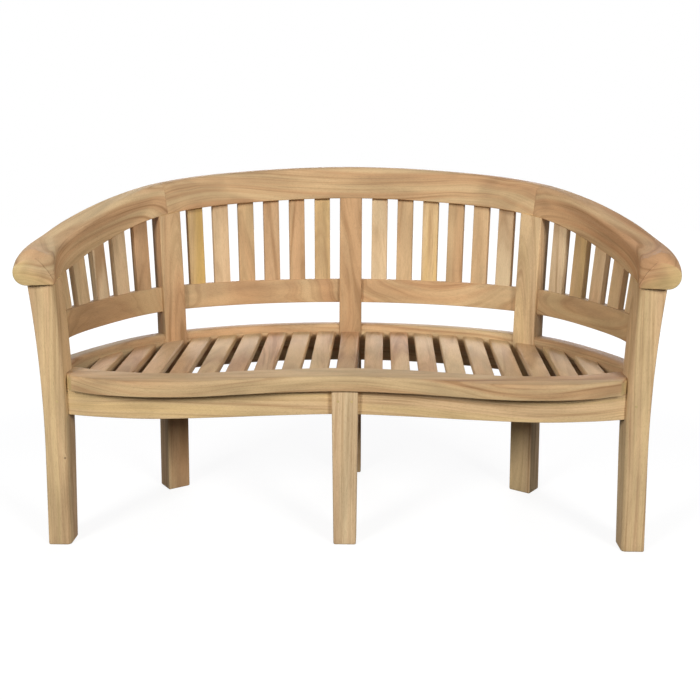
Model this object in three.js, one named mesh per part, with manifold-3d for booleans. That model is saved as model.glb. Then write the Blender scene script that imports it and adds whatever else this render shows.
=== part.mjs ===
// A curved teak garden bench for three people, made as separate boards with mortise and tenon joints.
// Lengths are millimetres. +Z is up, +X is to the right as seen from the front, and the sitter looks
// along -Y. While it is built, Y is measured from the front face of the front legs. At the end the bench
// is moved so that its origin is on the floor, in the middle of its length and depth.
import * as THREE from "three";
import { mergeVertices } from "three/addons/utils/BufferGeometryUtils.js";
import Module from "manifold-3d";

const wasm = await Module();
wasm.setup();

// Fits shared by every joint
const fitGap = 0.3; // left between any two pieces that touch
const overrun = 20; // how far a rough piece runs into its neighbour before it is trimmed to it
const tenonLength = 18; // on rails, legs and posts
const slatTenonLength = 11;
const tenonShoulder = 7; // set in from the edge of the board that carries the tenon

// Plan of the back: post and slat centres stand on half an ellipse that opens to the front
const bowHalfWidth = 717;
const bowDepth = 504;
const bowStart = 70; // centre of the ellipse behind the front face of the legs
const sideLean = 29; // how far the top of the back spreads beyond the seat, at the sides
const backLean = 40; // the same at the rear
const startLean = 19; // the same for the centre of the ellipse
const cornerTurn = THREE.MathUtils.degToRad(45.1); // rear corner posts, from the middle of the back

// Heights above the floor
const seatHeight = 436;
const backRailUnderside = 830; // top rail at the middle of the back
const armUnderside = 663; // at the arm's front end
const seatRailProud = 20; // the seat rails stand above the slats by this much
const seatRailHeight = 110;
const lowerRailShare = 0.366; // its underside, on the way from the seat up to the arm
const lowerRailHeight = 69;
const sideRailFall = 12; // the lower side rails come down by this much towards the front

// Legs and posts
const postWidth = 65;
const postDepth = 58;
const frontLegWidth = 57;
const frontLegTopWidth = 61.5;
const frontLegDepth = 60;
const frontLegTopDepth = 82;
const legFlareStart = 230; // height where the front legs begin to curve outward
const centreLegFootWidth = 57;
const centreLegTopWidth = 66;
const centreLegDepth = 56;
const centreLegSetback = 22; // behind the front face of the outer legs
const footChamfer = 3;

// Top rail and arms
const topRailThickness = 60;
const topRailHeight = 91; // at the middle of the back
const armHeight = 86; // where the arms join the top rail
const topRailRounding = 15;
const railEdge = 3; // small rounding on the other long edges
const armWidth = 97; // where it is widest
const armOverhang = 15; // in front of the legs
const armOuterRounding = 50;
const armUnderRounding = 32;
const armInnerFall = 14; // the top face slopes inward by this much at the front
const armNose = 30; // length over which the front end is rounded off
const armFaceHeight = 67; // end face
const armFaceBevelWidth = 48;

// Rails round the seat and back
const seatRailThickness = 44;
const lowerRailThickness = 36;
const frontRailWidth = 90;
const frontRailThickness = 38;
const frontRailCentre = 13; // front edge behind the legs' front face, at the middle
const frontRailBulge = 71; // how far each half swells forward of the middle
const frontRailRounding = 9;
const frontRailClip = 14; // cut-off corner beside the leg
const apronThickness = 28;
const apronHeight = 65;
const apronCentre = 40; // front face behind the legs' front face, at the middle
const apronBulge = 56;
const stretcherWidth = 56;
const stretcherHeight = 62;

// Slats
const backSlatWidth = 46;
const backSlatThickness = 20;
const centreBaySlats = 6;
const sideBaySlats = 5;
const sideSlatsPast = 16; // the even spaces of a side bay end this far inside the leg's back face
const seatSlatThickness = 22;
const seatSlatsEachSide = 9; // beside the middle one

// Forms written as shares: of the path's length, then of the height, width or swell that they shape
const undersideShares = [
  [0, 1],
  [0.296, 0.91],
  [0.444, 0.787],
  [0.572, 0.6],
  [0.74, 0.285],
  [0.838, 0.11],
  [0.957, 0],
  [1, 0],
];
const armWidthShares = [
  [0, 0],
  [0.25, 0.35],
  [0.5, 0.78],
  [0.75, 0.96],
  [0.9, 1],
  [1, 0.98],
];
const armRoundShares = [
  [0, 0],
  [0.25, 0.06],
  [0.5, 0.28],
  [0.75, 0.75],
  [0.9, 0.96],
  [1, 1],
];
const frontSwellShares = [
  [0, 0],
  [0.2, 0.2],
  [0.35, 0.52],
  [0.5, 0.87],
  [0.62, 0.96],
  [0.72, 0.92],
  [0.84, 0.69],
  [0.92, 0.36],
  [1, 0.06],
];
const apronSwellShares = [
  [0, 0],
  [0.22, 0.27],
  [0.44, 0.7],
  [0.66, 1],
  [0.85, 0.76],
  [1, 0.32],
];
// A seat slat's width, and its distance from the next one, as shares of the bow's half width
const slatFrontWidthShare = 0.0656;
const slatBackWidthShare = 0.0739;
const slatFrontPitchShare = 0.0972;
const slatBackPitchShare = 0.1004;
// The sides of the bow are drawn in by up to these shares of its size, at the seat and at the top.
const seatFlatShare = 0.028;
const topFlatShare = 0.02;
const tenonThicknessShare = 0.36;
const legTenonShare = 0.5;
const leanBendShare = 0.15; // how gently the posts turn from upright to leaning
const bevelFullnessShare = 0.3; // 0 is a flat bevel, 1 a full round

// Numbers of facets
const bowSteps = 18;
const topRailSteps = 30;
const armSteps = 26;
const noseSteps = 5;
const frontSteps = 36;
const postSteps = 8;
const cornerSteps = 4;
const walkSteps = 200; // short steps along the bow
const settleSteps = 30; // rounds to find where a seat slat's edge meets its rail
const turnStep = 1e-4; // to either side, when a direction on the bow is measured

const sides = [
  ["left", -1],
  ["right", 1],
];
const topHalfWidth = bowHalfWidth + sideLean;
const topStart = bowStart + startLean;
const topDepth = bowDepth + backLean - startLean;
const seatRailTop = seatHeight + seatRailProud;
const seatRailBottom = seatRailTop - seatRailHeight;
const lowerRailBottom = seatHeight + (armUnderside - seatHeight) * lowerRailShare;
const lowerRailTop = lowerRailBottom + lowerRailHeight;
const backRise = backRailUnderside - seatHeight;
const leanSlope = backLean / backRise;
const frontRailUnderside = seatHeight - frontRailThickness;
const apronTop = frontRailUnderside - fitGap;
const apronBottom = apronTop - apronHeight;
const stretcherTop = seatHeight - seatSlatThickness - fitGap;
const legTurn = Math.acos((frontLegDepth / 2 - bowStart) / bowDepth);
const armEndTurn = Math.acos((-armOverhang - topStart) / topDepth);
const legCentreX = bowHalfWidth * Math.sin(legTurn);
const legTopTurn = Math.acos((frontLegTopDepth / 2 - topStart) / topDepth);
const legTopCentreX = topHalfWidth * Math.sin(legTopTurn);

const lerp = THREE.MathUtils.lerp;
const clamp = THREE.MathUtils.clamp;

// Smooth curve through rows of [share, value], read at one share.
function follow(rows, share) {
  const last = rows.length - 1;
  const s = clamp(share, rows[0][0], rows[last][0]);
  let i = 0;
  while (i < last - 1 && s > rows[i + 1][0]) i += 1;
  const slope = (k) => {
    const low = Math.max(k - 1, 0);
    const high = Math.min(k + 1, last);
    return k === 0 ? 0 : (rows[high][1] - rows[low][1]) / (rows[high][0] - rows[low][0]);
  };
  const span = rows[i + 1][0] - rows[i][0];
  const t = (s - rows[i][0]) / span;
  const keep = (1 + 2 * t) * (1 - t) ** 2;
  const next = t * t * (3 - 2 * t);
  const start = t * (1 - t) ** 2 * span;
  const end = t * t * (t - 1) * span;
  return keep * rows[i][1] + next * rows[i + 1][1] + start * slope(i) + end * slope(i + 1);
}

// The four corners of a section, as [along, out], for a post or slat.
const fourCorners = [
  [-1, -1],
  [1, -1],
  [1, 1],
  [-1, 1],
];

// Closed solid through rings of points, with flat ends.
function loft(rings) {
  const count = rings[0].length;
  const positions = rings.flat().flatMap((p) => [p.x, p.y, p.z]);
  const faces = [];
  for (let r = 0; r < rings.length - 1; r += 1) {
    for (let i = 0; i < count; i += 1) {
      const a = r * count + i;
      const b = r * count + ((i + 1) % count);
      faces.push(a, b, b + count, a, b + count, a + count);
    }
  }
  const lastRing = (rings.length - 1) * count;
  for (let i = 1; i < count - 1; i += 1) {
    faces.push(0, i + 1, i);
    faces.push(lastRing, lastRing + i, lastRing + i + 1);
  }
  const geometry = new THREE.BufferGeometry();
  geometry.setAttribute("position", new THREE.Float32BufferAttribute(positions, 3));
  geometry.setIndex(faces);
  return solidFrom(geometry);
}

// Level rectangle between two widths and two depths.
const ringAt = (lowX, highX, lowY, highY, z) => [
  new THREE.Vector3(lowX, lowY, z),
  new THREE.Vector3(highX, lowY, z),
  new THREE.Vector3(highX, highY, z),
  new THREE.Vector3(lowX, highY, z),
];

function solidFrom(geometry) {
  const merged = mergeVertices(geometry);
  const vertProperties = merged.attributes.position.array;
  const triVerts = new Uint32Array(merged.index.array);
  const made = new wasm.Manifold(new wasm.Mesh({ numProp: 3, vertProperties, triVerts }));
  if (made.volume() > 0) return made;
  for (let i = 0; i < triVerts.length; i += 3) {
    [triVerts[i + 1], triVerts[i + 2]] = [triVerts[i + 2], triVerts[i + 1]];
  }
  return new wasm.Manifold(new wasm.Mesh({ numProp: 3, vertProperties, triVerts }));
}

// Rectangular block between two corners.
function block(low, high) {
  const size = high.map((value, i) => value - low[i]);
  const geometry = new THREE.BoxGeometry(...size);
  geometry.translate(...low.map((value, i) => value + size[i] / 2));
  geometry.deleteAttribute("normal");
  geometry.deleteAttribute("uv");
  return solidFrom(geometry);
}

// One point of the back's plan. rise is 0 at the seat and 1 at the underside of the top rail.
// A negative turn is the left half.
function bowPoint(turn, rise) {
  const halfWidth = lerp(bowHalfWidth, topHalfWidth, rise);
  const depth = lerp(bowDepth, topDepth, rise);
  const start = lerp(bowStart, topStart, rise);
  const place = (at) => {
    const size = 1 - lerp(seatFlatShare, topFlatShare, rise) * Math.sin(Math.PI * sideShare(at)) ** 2;
    return new THREE.Vector2(halfWidth * size * Math.sin(at), start + depth * size * Math.cos(at));
  };
  const along = place(turn + turnStep).sub(place(turn - turnStep));
  const pace = along.length() / (2 * turnStep);
  const tangent = along.normalize();
  const outward = new THREE.Vector2(-tangent.y, tangent.x);
  const { x, y } = place(turn);
  return { x, y, tangent, outward, pace };
}

// The turn reached after walking a distance along the bow, in short steps.
function walk(turn, distance, rise) {
  let reached = turn;
  for (let i = 0; i < walkSteps; i += 1) {
    reached += distance / walkSteps / bowPoint(reached, rise).pace;
  }
  return reached;
}

function bowLength(fromTurn, toTurn, rise) {
  const step = (toTurn - fromTurn) / walkSteps;
  let length = 0;
  for (let i = 0; i < walkSteps; i += 1) {
    length += step * bowPoint(fromTurn + (i + 0.5) * step, rise).pace;
  }
  return length;
}

// Places a section point: out from the bow's line, along it, and up.
function onBow(bow, out, along, z) {
  const x = bow.x + bow.outward.x * out + bow.tangent.x * along;
  const y = bow.y + bow.outward.y * out + bow.tangent.y * along;
  return new THREE.Vector3(x, y, z);
}

const riseAt = (z) => (z - seatHeight) / backRise;
const heightAt = (turn) => lerp(topRailHeight, armHeight, Math.min(Math.abs(turn) / cornerTurn, 1) ** 2);

// 0 up to the rear corner post, and 1 at the front leg.
const sideShare = (turn) => clamp((Math.abs(turn) - cornerTurn) / (legTurn - cornerTurn), 0, 1);
const fallAt = (rail, turn) => rail.fall * sideShare(turn);

// Underside of the top rail and arms.
const undersideAt = (turn) => {
  const drop = follow(undersideShares, Math.abs(turn) / armEndTurn);
  return lerp(armUnderside, backRailUnderside, drop);
};

const railRise = (rail) => (rail.leans ? riseAt((rail.bottom + rail.top) / 2) : 0);

// A rail bent to the bow, as a board on edge that leans with the back.
function bentRail(rail, fromTurn, toTurn, grow = 0) {
  const slope = rail.leans ? leanSlope : 0;
  const halfThickness = rail.thickness / 2 + grow;
  const middle = (rail.bottom + rail.top) / 2;
  const rings = [];
  for (let i = 0; i <= bowSteps; i += 1) {
    const turn = lerp(fromTurn, toTurn, i / bowSteps);
    const bow = bowPoint(turn, railRise(rail));
    const fall = fallAt(rail, turn);
    const corner = (side, z) => onBow(bow, side * halfThickness + slope * (z - middle), 0, z - fall);
    const low = rail.bottom - grow;
    const high = rail.top + grow;
    rings.push([corner(-1, low), corner(1, low), corner(1, high), corner(-1, high)]);
  }
  return loft(rings);
}

const seatRail = {
  bottom: seatRailBottom,
  top: seatRailTop,
  thickness: seatRailThickness,
  leans: false,
  fall: 0,
};
const lowerRail = {
  bottom: lowerRailBottom,
  top: lowerRailTop,
  thickness: lowerRailThickness,
  leans: true,
  fall: 0,
};
const lowerSideRail = { ...lowerRail, fall: sideRailFall };

// The rail's own tenon: thinner, with a shoulder above and below.
const tenonOf = (rail) => ({
  ...rail,
  bottom: rail.bottom + tenonShoulder,
  top: rail.top - tenonShoulder,
  thickness: rail.thickness * tenonThicknessShare,
});

// How far a post or leg has leaned or flared at a height, as a share of its whole lean.
function leanShare(z) {
  const u = Math.max(riseAt(z), 0);
  const start = leanBendShare;
  return (Math.hypot(u, start) - start) / (Math.hypot(1, start) - start);
}

// Rear post: upright to the seat, then leaning back with the slats.
function rearPost(turn, grow = 0) {
  const foot = bowPoint(turn, 0);
  const head = bowPoint(turn, 1);
  const top = undersideAt(turn) + overrun;
  const ring = (z, inset) => {
    const share = leanShare(z);
    const shiftX = (head.x - foot.x) * share;
    const shiftY = (head.y - foot.y) * share;
    const halfWidth = postWidth / 2 + grow - inset;
    const halfDepth = postDepth / 2 + grow - inset;
    const shift = new THREE.Vector3(shiftX, shiftY, 0);
    return fourCorners.map(([a, o]) => onBow(foot, o * halfDepth, a * halfWidth, z).add(shift));
  };
  const rings = [ring(-grow, footChamfer), ring(footChamfer, 0), ring(seatHeight, 0)];
  for (let i = 1; i <= postSteps; i += 1) rings.push(ring(lerp(seatHeight, top, i / postSteps), 0));
  return loft(rings);
}

// Tenon on top of a rear post, up into the top rail or across the joint between rail and arm.
function postTopTenon(turn, grow = 0) {
  const head = bowPoint(turn, 1);
  const halfWidth = (postWidth * legTenonShare) / 2 + grow;
  const halfDepth = (topRailThickness * tenonThicknessShare) / 2 + grow;
  const low = undersideAt(turn) - overrun;
  const high = undersideAt(turn) + tenonLength + grow;
  const ring = (z) => fourCorners.map(([a, o]) => onBow(head, o * halfDepth, a * halfWidth, z));
  return loft([ring(low), ring(high)]);
}

const legDepthAt = (z) => lerp(frontLegDepth, frontLegTopDepth, z / armUnderside);

// From the bow's end on the leg to the leg's back face.
const legBackAt = (z) => legDepthAt(z) - frontLegDepth / 2;

// Front corner leg: straight below, then curved outward to carry the arm.
function legFlareAt(z) {
  const share = Math.max(z - legFlareStart, 0) / (armUnderside - legFlareStart);
  return share * share;
}

function frontLeg(side, grow = 0, widen = 0) {
  const ring = (z, inset) => {
    const flare = legFlareAt(z);
    const centre = side * lerp(legCentreX, legTopCentreX, flare);
    const half = lerp(frontLegWidth, frontLegTopWidth, Math.min(flare, 1)) / 2 + grow + widen - inset;
    return ringAt(centre - half, centre + half, inset - grow, legDepthAt(z) + grow - inset, z);
  };
  const rings = [ring(-grow, footChamfer), ring(footChamfer, 0), ring(legFlareStart, 0)];
  const top = armUnderside + overrun;
  for (let i = 1; i <= postSteps; i += 1) rings.push(ring(lerp(legFlareStart, top, i / postSteps), 0));
  return loft(rings);
}

function frontLegTenon(side, grow = 0) {
  const halfX = (frontLegTopWidth * legTenonShare) / 2 + grow;
  const halfY = (frontLegTopDepth * legTenonShare) / 2 + grow;
  const centre = side * legTopCentreX;
  const middle = frontLegTopDepth / 2;
  const low = [centre - halfX, middle - halfY, armUnderside - overrun];
  const high = [centre + halfX, middle + halfY, armUnderside + tenonLength + grow];
  return block(low, high);
}

const centreLegHalfAt = (z) => lerp(centreLegFootWidth, centreLegTopWidth, z / apronTop) / 2;

function centreLeg(grow = 0) {
  const front = centreLegSetback - grow;
  const back = centreLegSetback + centreLegDepth + grow;
  const ring = (z, inset) => {
    const half = centreLegHalfAt(z) + grow - inset;
    return ringAt(-half, half, front + inset, back - inset, z);
  };
  return loft([ring(-grow, footChamfer), ring(footChamfer, 0), ring(apronTop + grow, 0)]);
}

function centreLegTenon(grow = 0) {
  const halfX = (centreLegTopWidth * legTenonShare) / 2 + grow;
  const halfY = (centreLegDepth * legTenonShare) / 2 + grow;
  const middle = centreLegSetback + centreLegDepth / 2;
  const low = [-halfX, middle - halfY, apronTop - overrun];
  const high = [halfX, middle + halfY, apronTop + tenonLength + grow];
  return block(low, high);
}

// Four rounded corners, from inner bottom round to inner top. Each corner has a width, a height and a
// fullness: 1 is round and 0 a flat bevel.
function roundedSection(shape) {
  const { inner, outer, bottom, outerTop, innerTop, corners } = shape;
  const places = [
    [-inner, bottom, 1, 1],
    [outer, bottom, -1, 1],
    [outer, outerTop, -1, -1],
    [-inner, innerTop, 1, -1],
  ];
  const points = [];
  places.forEach(([u, v, toU, toV], i) => {
    const { width, height, full } = corners[i];
    const centre = new THREE.Vector2(u + toU * width, v + toV * height);
    for (let k = 0; k <= cornerSteps; k += 1) {
      const share = i % 2 === 0 ? k / cornerSteps : 1 - k / cornerSteps;
      const angle = (share * Math.PI) / 2;
      const roundU = Math.cos(angle);
      const roundV = Math.sin(angle);
      const flatU = 1 - share;
      const flatV = share;
      points.push([
        centre.x - toU * width * lerp(flatU, roundU, full),
        centre.y - toV * height * lerp(flatV, roundV, full),
      ]);
    }
  });
  return points;
}

const evenCorner = (radius) => ({ width: radius, height: radius, full: 1 });

// grow enlarges the section all round, and widen only to both sides, for trimming what stands under it.
function topRailSection(height, grow, widen) {
  const half = topRailThickness / 2 + grow + widen;
  return {
    inner: half,
    outer: half,
    bottom: -grow,
    outerTop: height + grow,
    innerTop: height + grow,
    corners: [railEdge, railEdge, topRailRounding, topRailRounding].map(evenCorner),
  };
}

// The arm starts as the top rail's section and widens outward; nose is 1 on the front end face.
function armSection(share, nose, grow, widen) {
  const start = topRailSection(armHeight, grow, widen);
  const wide = follow(armWidthShares, share);
  const round = follow(armRoundShares, share);
  const ease = nose * nose;
  const outer = start.outer + (armWidth - topRailThickness) * wide;
  const innerTop = start.innerTop - armInnerFall * round;
  const facedTop = armFaceHeight + grow;
  const mix = (a, b, s) => ({
    width: lerp(a.width, b.width, s),
    height: lerp(a.height, b.height, s),
    full: lerp(a.full, b.full, s),
  });
  const outerTopCorner = mix(evenCorner(topRailRounding), evenCorner(armOuterRounding), round);
  const underCorner = mix(evenCorner(railEdge), evenCorner(armUnderRounding), round);
  const faceOuter = {
    width: armOuterRounding,
    height: armFaceHeight - armUnderRounding - railEdge,
    full: 1,
  };
  const faceBevel = {
    width: armFaceBevelWidth,
    height: armFaceHeight - 2 * railEdge,
    full: bevelFullnessShare,
  };
  return {
    inner: start.inner,
    outer,
    bottom: start.bottom,
    outerTop: lerp(start.outerTop, facedTop, ease),
    innerTop: lerp(innerTop, facedTop, ease),
    corners: [
      evenCorner(railEdge),
      underCorner,
      mix(outerTopCorner, faceOuter, ease),
      mix(evenCorner(topRailRounding), faceBevel, ease),
    ],
  };
}

function railRing(turn, section, slope) {
  const bow = bowPoint(turn, 1);
  const under = undersideAt(turn);
  return roundedSection(section).map(([u, v]) => onBow(bow, u + slope * v, 0, under + v));
}

function topRail(grow = 0, widen = 0) {
  const end = cornerTurn - (fitGap / 2 - grow) / bowPoint(cornerTurn, 1).pace;
  const rings = [];
  for (let i = 0; i <= topRailSteps; i += 1) {
    const turn = lerp(-end, end, i / topRailSteps);
    rings.push(railRing(turn, topRailSection(heightAt(turn), grow, widen), leanSlope));
  }
  return loft(rings);
}

function arm(side, grow = 0, widen = 0) {
  const start = cornerTurn + (fitGap / 2 - grow) / bowPoint(cornerTurn, 1).pace;
  const noseTurn = armNose / bowPoint(armEndTurn, 1).pace;
  const rings = [];
  const addRing = (turn, nose) => {
    const share = (turn - cornerTurn) / (armEndTurn - cornerTurn);
    rings.push(railRing(side * turn, armSection(share, nose, grow, widen), leanSlope * (1 - share)));
  };
  for (let i = 0; i <= armSteps; i += 1) {
    addRing(lerp(start, armEndTurn - noseTurn, i / armSteps), 0);
  }
  for (let i = 1; i <= noseSteps; i += 1) {
    addRing(armEndTurn - noseTurn * (1 - i / noseSteps), i / noseSteps);
  }
  return loft(rings);
}

// Front rail and aprons follow a swelling line in plan; x is measured from the middle.
const swellAt = (shares, x) => follow(shares, Math.abs(x) / legCentreX);
const frontEdgeAt = (x) => frontRailCentre - frontRailBulge * swellAt(frontSwellShares, x);
const apronFaceAt = (x) => apronCentre - apronBulge * swellAt(apronSwellShares, x);

function seatFrontRail(grow = 0) {
  const bottom = frontRailUnderside - grow;
  const top = seatHeight + grow;
  const clipStart = legCentreX - frontLegWidth / 2 - frontRailClip;
  const rings = [];
  for (let i = 0; i <= frontSteps; i += 1) {
    const x = lerp(-legCentreX, legCentreX, i / frontSteps);
    const front = frontEdgeAt(x) + Math.max(Math.abs(x) - clipStart, 0) - grow;
    const back = frontEdgeAt(x) + frontRailWidth + grow;
    const points = [[back, top], [back, bottom], [front, bottom]];
    for (let k = 0; k <= cornerSteps; k += 1) {
      const angle = (k / cornerSteps) * (Math.PI / 2);
      const inset = frontRailRounding * (1 - Math.cos(angle));
      points.push([front + inset, top - frontRailRounding * (1 - Math.sin(angle))]);
    }
    rings.push(points.map(([y, z]) => new THREE.Vector3(x, y, z)));
  }
  return loft(rings);
}

function frontRailTenon(side, grow = 0) {
  const middle = frontLegDepth / 2;
  const half = (frontLegDepth * tenonThicknessShare) / 2 + grow;
  const legFace = legCentreX - frontLegWidth / 2;
  const near = side * (legFace - overrun);
  const far = side * (legFace + tenonLength + grow);
  const bottom = frontRailUnderside + tenonShoulder - grow;
  const top = seatHeight - tenonShoulder - frontRailRounding / 2 + grow;
  const low = [Math.min(near, far), middle - half, bottom];
  const high = [Math.max(near, far), middle + half, top];
  return block(low, high);
}

// Apron board, or its tenon when it is made thinner and longer.
function apronBoard(side, fromX, toX, inset, shoulder, grow = 0) {
  const rings = [];
  for (let i = 0; i <= frontSteps / 2; i += 1) {
    const x = lerp(fromX, toX, i / (frontSteps / 2));
    const front = apronFaceAt(x) + inset - grow;
    const back = apronFaceAt(x) + apronThickness - inset + grow;
    const low = apronBottom + shoulder - grow;
    const high = apronTop - shoulder + grow;
    const corner = (y, z) => new THREE.Vector3(side * x, y, z);
    rings.push([corner(front, low), corner(back, low), corner(back, high), corner(front, high)]);
  }
  return loft(rings);
}

function apronTenon(side, grow = 0) {
  const fromX = centreLegHalfAt(apronTop) - tenonLength - grow;
  const toX = legCentreX - frontLegWidth / 2 + tenonLength + grow;
  const inset = (apronThickness * (1 - tenonThicknessShare)) / 2;
  return apronBoard(side, fromX, toX, inset, tenonShoulder, grow);
}

const stretcherFront = centreLegSetback + centreLegDepth;
const stretcherBack = bowStart + bowDepth - postDepth / 2;

function stretcherBar(inset, reach, grow = 0) {
  const half = (stretcherWidth / 2) * (1 - inset) + grow;
  const shoulder = inset > 0 ? tenonShoulder : 0;
  const bottom = stretcherTop - stretcherHeight + shoulder - grow;
  const top = stretcherTop - 2 * shoulder + grow;
  const low = [-half, stretcherFront - reach - grow, bottom];
  const high = [half, stretcherBack + reach + grow, top];
  return block(low, high);
}

// Where a line at x meets the bow at seat height, drawn in by an inset.
function bowYAt(x, inset) {
  let low = 0;
  let high = legTurn;
  for (let i = 0; i < settleSteps; i += 1) {
    const middle = (low + high) / 2;
    if (onBow(bowPoint(middle, 0), -inset, 0, 0).x < Math.abs(x)) low = middle;
    else high = middle;
  }
  return onBow(bowPoint(low, 0), -inset, 0, 0).y;
}

// Seat slats fan out towards the back. A slat's long edges are straight lines from the front rail to
// the bow.
function seatSlat(index, edgeInset, frontReach, backReach, low, high) {
  const frontY = frontEdgeAt(0) + frontRailWidth;
  const backY = bowStart + bowDepth;
  const edgeX = (side, y) => {
    const share = (y - frontY) / (backY - frontY);
    const pitch = bowHalfWidth * lerp(slatFrontPitchShare, slatBackPitchShare, share);
    const width = bowHalfWidth * lerp(slatFrontWidthShare, slatBackWidthShare, share);
    return index * pitch + side * (width / 2 - edgeInset);
  };
  const corner = (side, atBack) => {
    let y = atBack ? backY : frontY;
    for (let i = 0; i < settleSteps; i += 1) {
      const x = edgeX(side, y);
      y = atBack ? bowYAt(x, backReach) : frontEdgeAt(x) + frontRailWidth - frontReach;
    }
    return [edgeX(side, y), y];
  };
  const outline = [corner(-1, false), corner(1, false), corner(1, true), corner(-1, true)];
  return loft([low, high].map((z) => outline.map(([x, y]) => new THREE.Vector3(x, y, z))));
}

const seatSlatBody = (index, grow = 0) =>
  seatSlat(index, -grow, overrun, 0, seatHeight - seatSlatThickness - grow, seatHeight + grow);

function seatSlatTenon(index, grow = 0) {
  const inset = tenonShoulder - grow;
  const frontReach = slatTenonLength + grow;
  const backReach = seatRailThickness / 2 - slatTenonLength - grow;
  const middle = seatHeight - seatSlatThickness / 2;
  const half = (seatSlatThickness * tenonThicknessShare) / 2 + grow;
  return seatSlat(index, inset, frontReach, backReach, middle - half, middle + half);
}

// Back slat: a straight board from the lower rail to the top rail or arm, turned to the bow.
function backSlat(turn, rail, widthInset, thickness, lowReach, highReach, grow = 0) {
  const fall = fallAt(rail, turn);
  const lowZ = rail.top - fall - lowReach - grow;
  const highZ = undersideAt(turn) + highReach + grow;
  const foot = bowPoint(turn, railRise(rail));
  const head = bowPoint(turn, 1);
  const footZ = (rail.bottom + rail.top) / 2 - fall;
  const headZ = undersideAt(turn);
  const halfWidth = backSlatWidth / 2 - widthInset + grow;
  const halfThickness = thickness / 2 + grow;
  const ring = (z) => {
    const share = (z - footZ) / (headZ - footZ);
    const at = { ...foot, x: lerp(foot.x, head.x, share), y: lerp(foot.y, head.y, share) };
    return fourCorners.map(([a, o]) => onBow(at, o * halfThickness, a * halfWidth, z));
  };
  return loft([ring(lowZ), ring(highZ)]);
}

// Evenly spaced slat positions between two supports that stand on the bow.
function slatTurns(fromTurn, fromHalf, toTurn, toHalf, count) {
  const rise = railRise(lowerRail);
  const open = bowLength(fromTurn, toTurn, rise) - fromHalf - toHalf;
  const space = (open - count * backSlatWidth) / (count + 1);
  const turns = [];
  for (let i = 0; i < count; i += 1) {
    const distance = fromHalf + space + backSlatWidth / 2 + i * (space + backSlatWidth);
    turns.push(walk(fromTurn, distance, rise));
  }
  return turns;
}

// The pieces, by name, and the tools that join them
const pieces = new Map();
const minus = (solid, ...tools) => tools.reduce((left, tool) => left.subtract(tool), solid);

// Cuts the mortise for a tenon into the named pieces.
function mortise(tool, ...names) {
  names.forEach((name) => pieces.set(name, pieces.get(name).subtract(tool)));
}

// The top rail and arms made wider, to trim what ends under them.
const railTrims = [topRail(fitGap, overrun), arm(-1, fitGap, overrun), arm(1, fitGap, overrun)];

function buildTopRailAndArms() {
  pieces.set("top_rail", topRail());
  sides.forEach(([name, side]) => pieces.set(`arm_${name}`, arm(side)));
}

function buildPosts() {
  const posts = [
    ["rear_post_left", -cornerTurn, ["top_rail", "arm_left"]],
    ["rear_post_centre", 0, ["top_rail"]],
    ["rear_post_right", cornerTurn, ["top_rail", "arm_right"]],
  ];
  posts.forEach(([name, turn, above]) => {
    pieces.set(name, minus(rearPost(turn), ...railTrims).add(postTopTenon(turn)));
    mortise(postTopTenon(turn, fitGap), ...above);
  });
}

function buildFrontLegs() {
  sides.forEach(([name, side]) => {
    pieces.set(`front_leg_${name}`, minus(frontLeg(side), ...railTrims).add(frontLegTenon(side)));
    mortise(frontLegTenon(side, fitGap), `arm_${name}`);
  });
  pieces.set("front_leg_centre", centreLeg().add(centreLegTenon()));
}

// A bent rail between two uprights. ends gives each upright's name, turn and half width along the bow.
function buildBentRail(name, rail, ends, trims) {
  const rise = railRise(rail);
  const body = minus(bentRail(rail, ends[0].turn, ends[1].turn), ...trims);
  const way = Math.sign(ends[1].turn - ends[0].turn);
  const reach = (end, inward, grow) => walk(end.turn, inward * (end.half - tenonLength - grow), rise);
  const tenon = (grow) => {
    return bentRail(tenonOf(rail), reach(ends[0], way, grow), reach(ends[1], -way, grow), grow);
  };
  pieces.set(name, body.add(tenon(0)));
  mortise(tenon(fitGap), ends[0].name, ends[1].name);
}

function buildBentRails() {
  const posts = [-cornerTurn, 0, cornerTurn].map((turn) => rearPost(turn, fitGap));
  sides.forEach(([name, side]) => {
    const centre = { name: "rear_post_centre", turn: 0, half: postWidth / 2 };
    const corner = { name: `rear_post_${name}`, turn: side * cornerTurn, half: postWidth / 2 };
    const legEnd = (z) => ({ name: `front_leg_${name}`, turn: side * legTurn, half: legBackAt(z) });
    const trims = [...posts, frontLeg(side, fitGap, overrun)];
    buildBentRail(`seat_back_rail_${name}`, seatRail, [centre, corner], trims);
    buildBentRail(`seat_side_rail_${name}`, seatRail, [corner, legEnd(seatRailBottom)], trims);
    buildBentRail(`lower_back_rail_${name}`, lowerRail, [centre, corner], trims);
    buildBentRail(`lower_side_rail_${name}`, lowerSideRail, [corner, legEnd(lowerRailBottom)], trims);
  });
}

function buildFrontRail() {
  const legs = [frontLeg(-1, fitGap), frontLeg(1, fitGap)];
  const sideRails = [-1, 1].map((side) => bentRail(seatRail, side * cornerTurn, side * legTurn, fitGap));
  const body = minus(seatFrontRail(), ...legs, ...sideRails);
  pieces.set("seat_front_rail", body.add(frontRailTenon(-1)).add(frontRailTenon(1)));
  sides.forEach(([name, side]) => mortise(frontRailTenon(side, fitGap), `front_leg_${name}`));
  mortise(centreLegTenon(fitGap), "seat_front_rail");
}

function buildAprons() {
  sides.forEach(([name, side]) => {
    const body = minus(apronBoard(side, 0, legCentreX, 0, 0), frontLeg(side, fitGap), centreLeg(fitGap));
    pieces.set(`apron_${name}`, body.add(apronTenon(side)));
    mortise(apronTenon(side, fitGap), `front_leg_${name}`, "front_leg_centre");
  });
}

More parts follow.
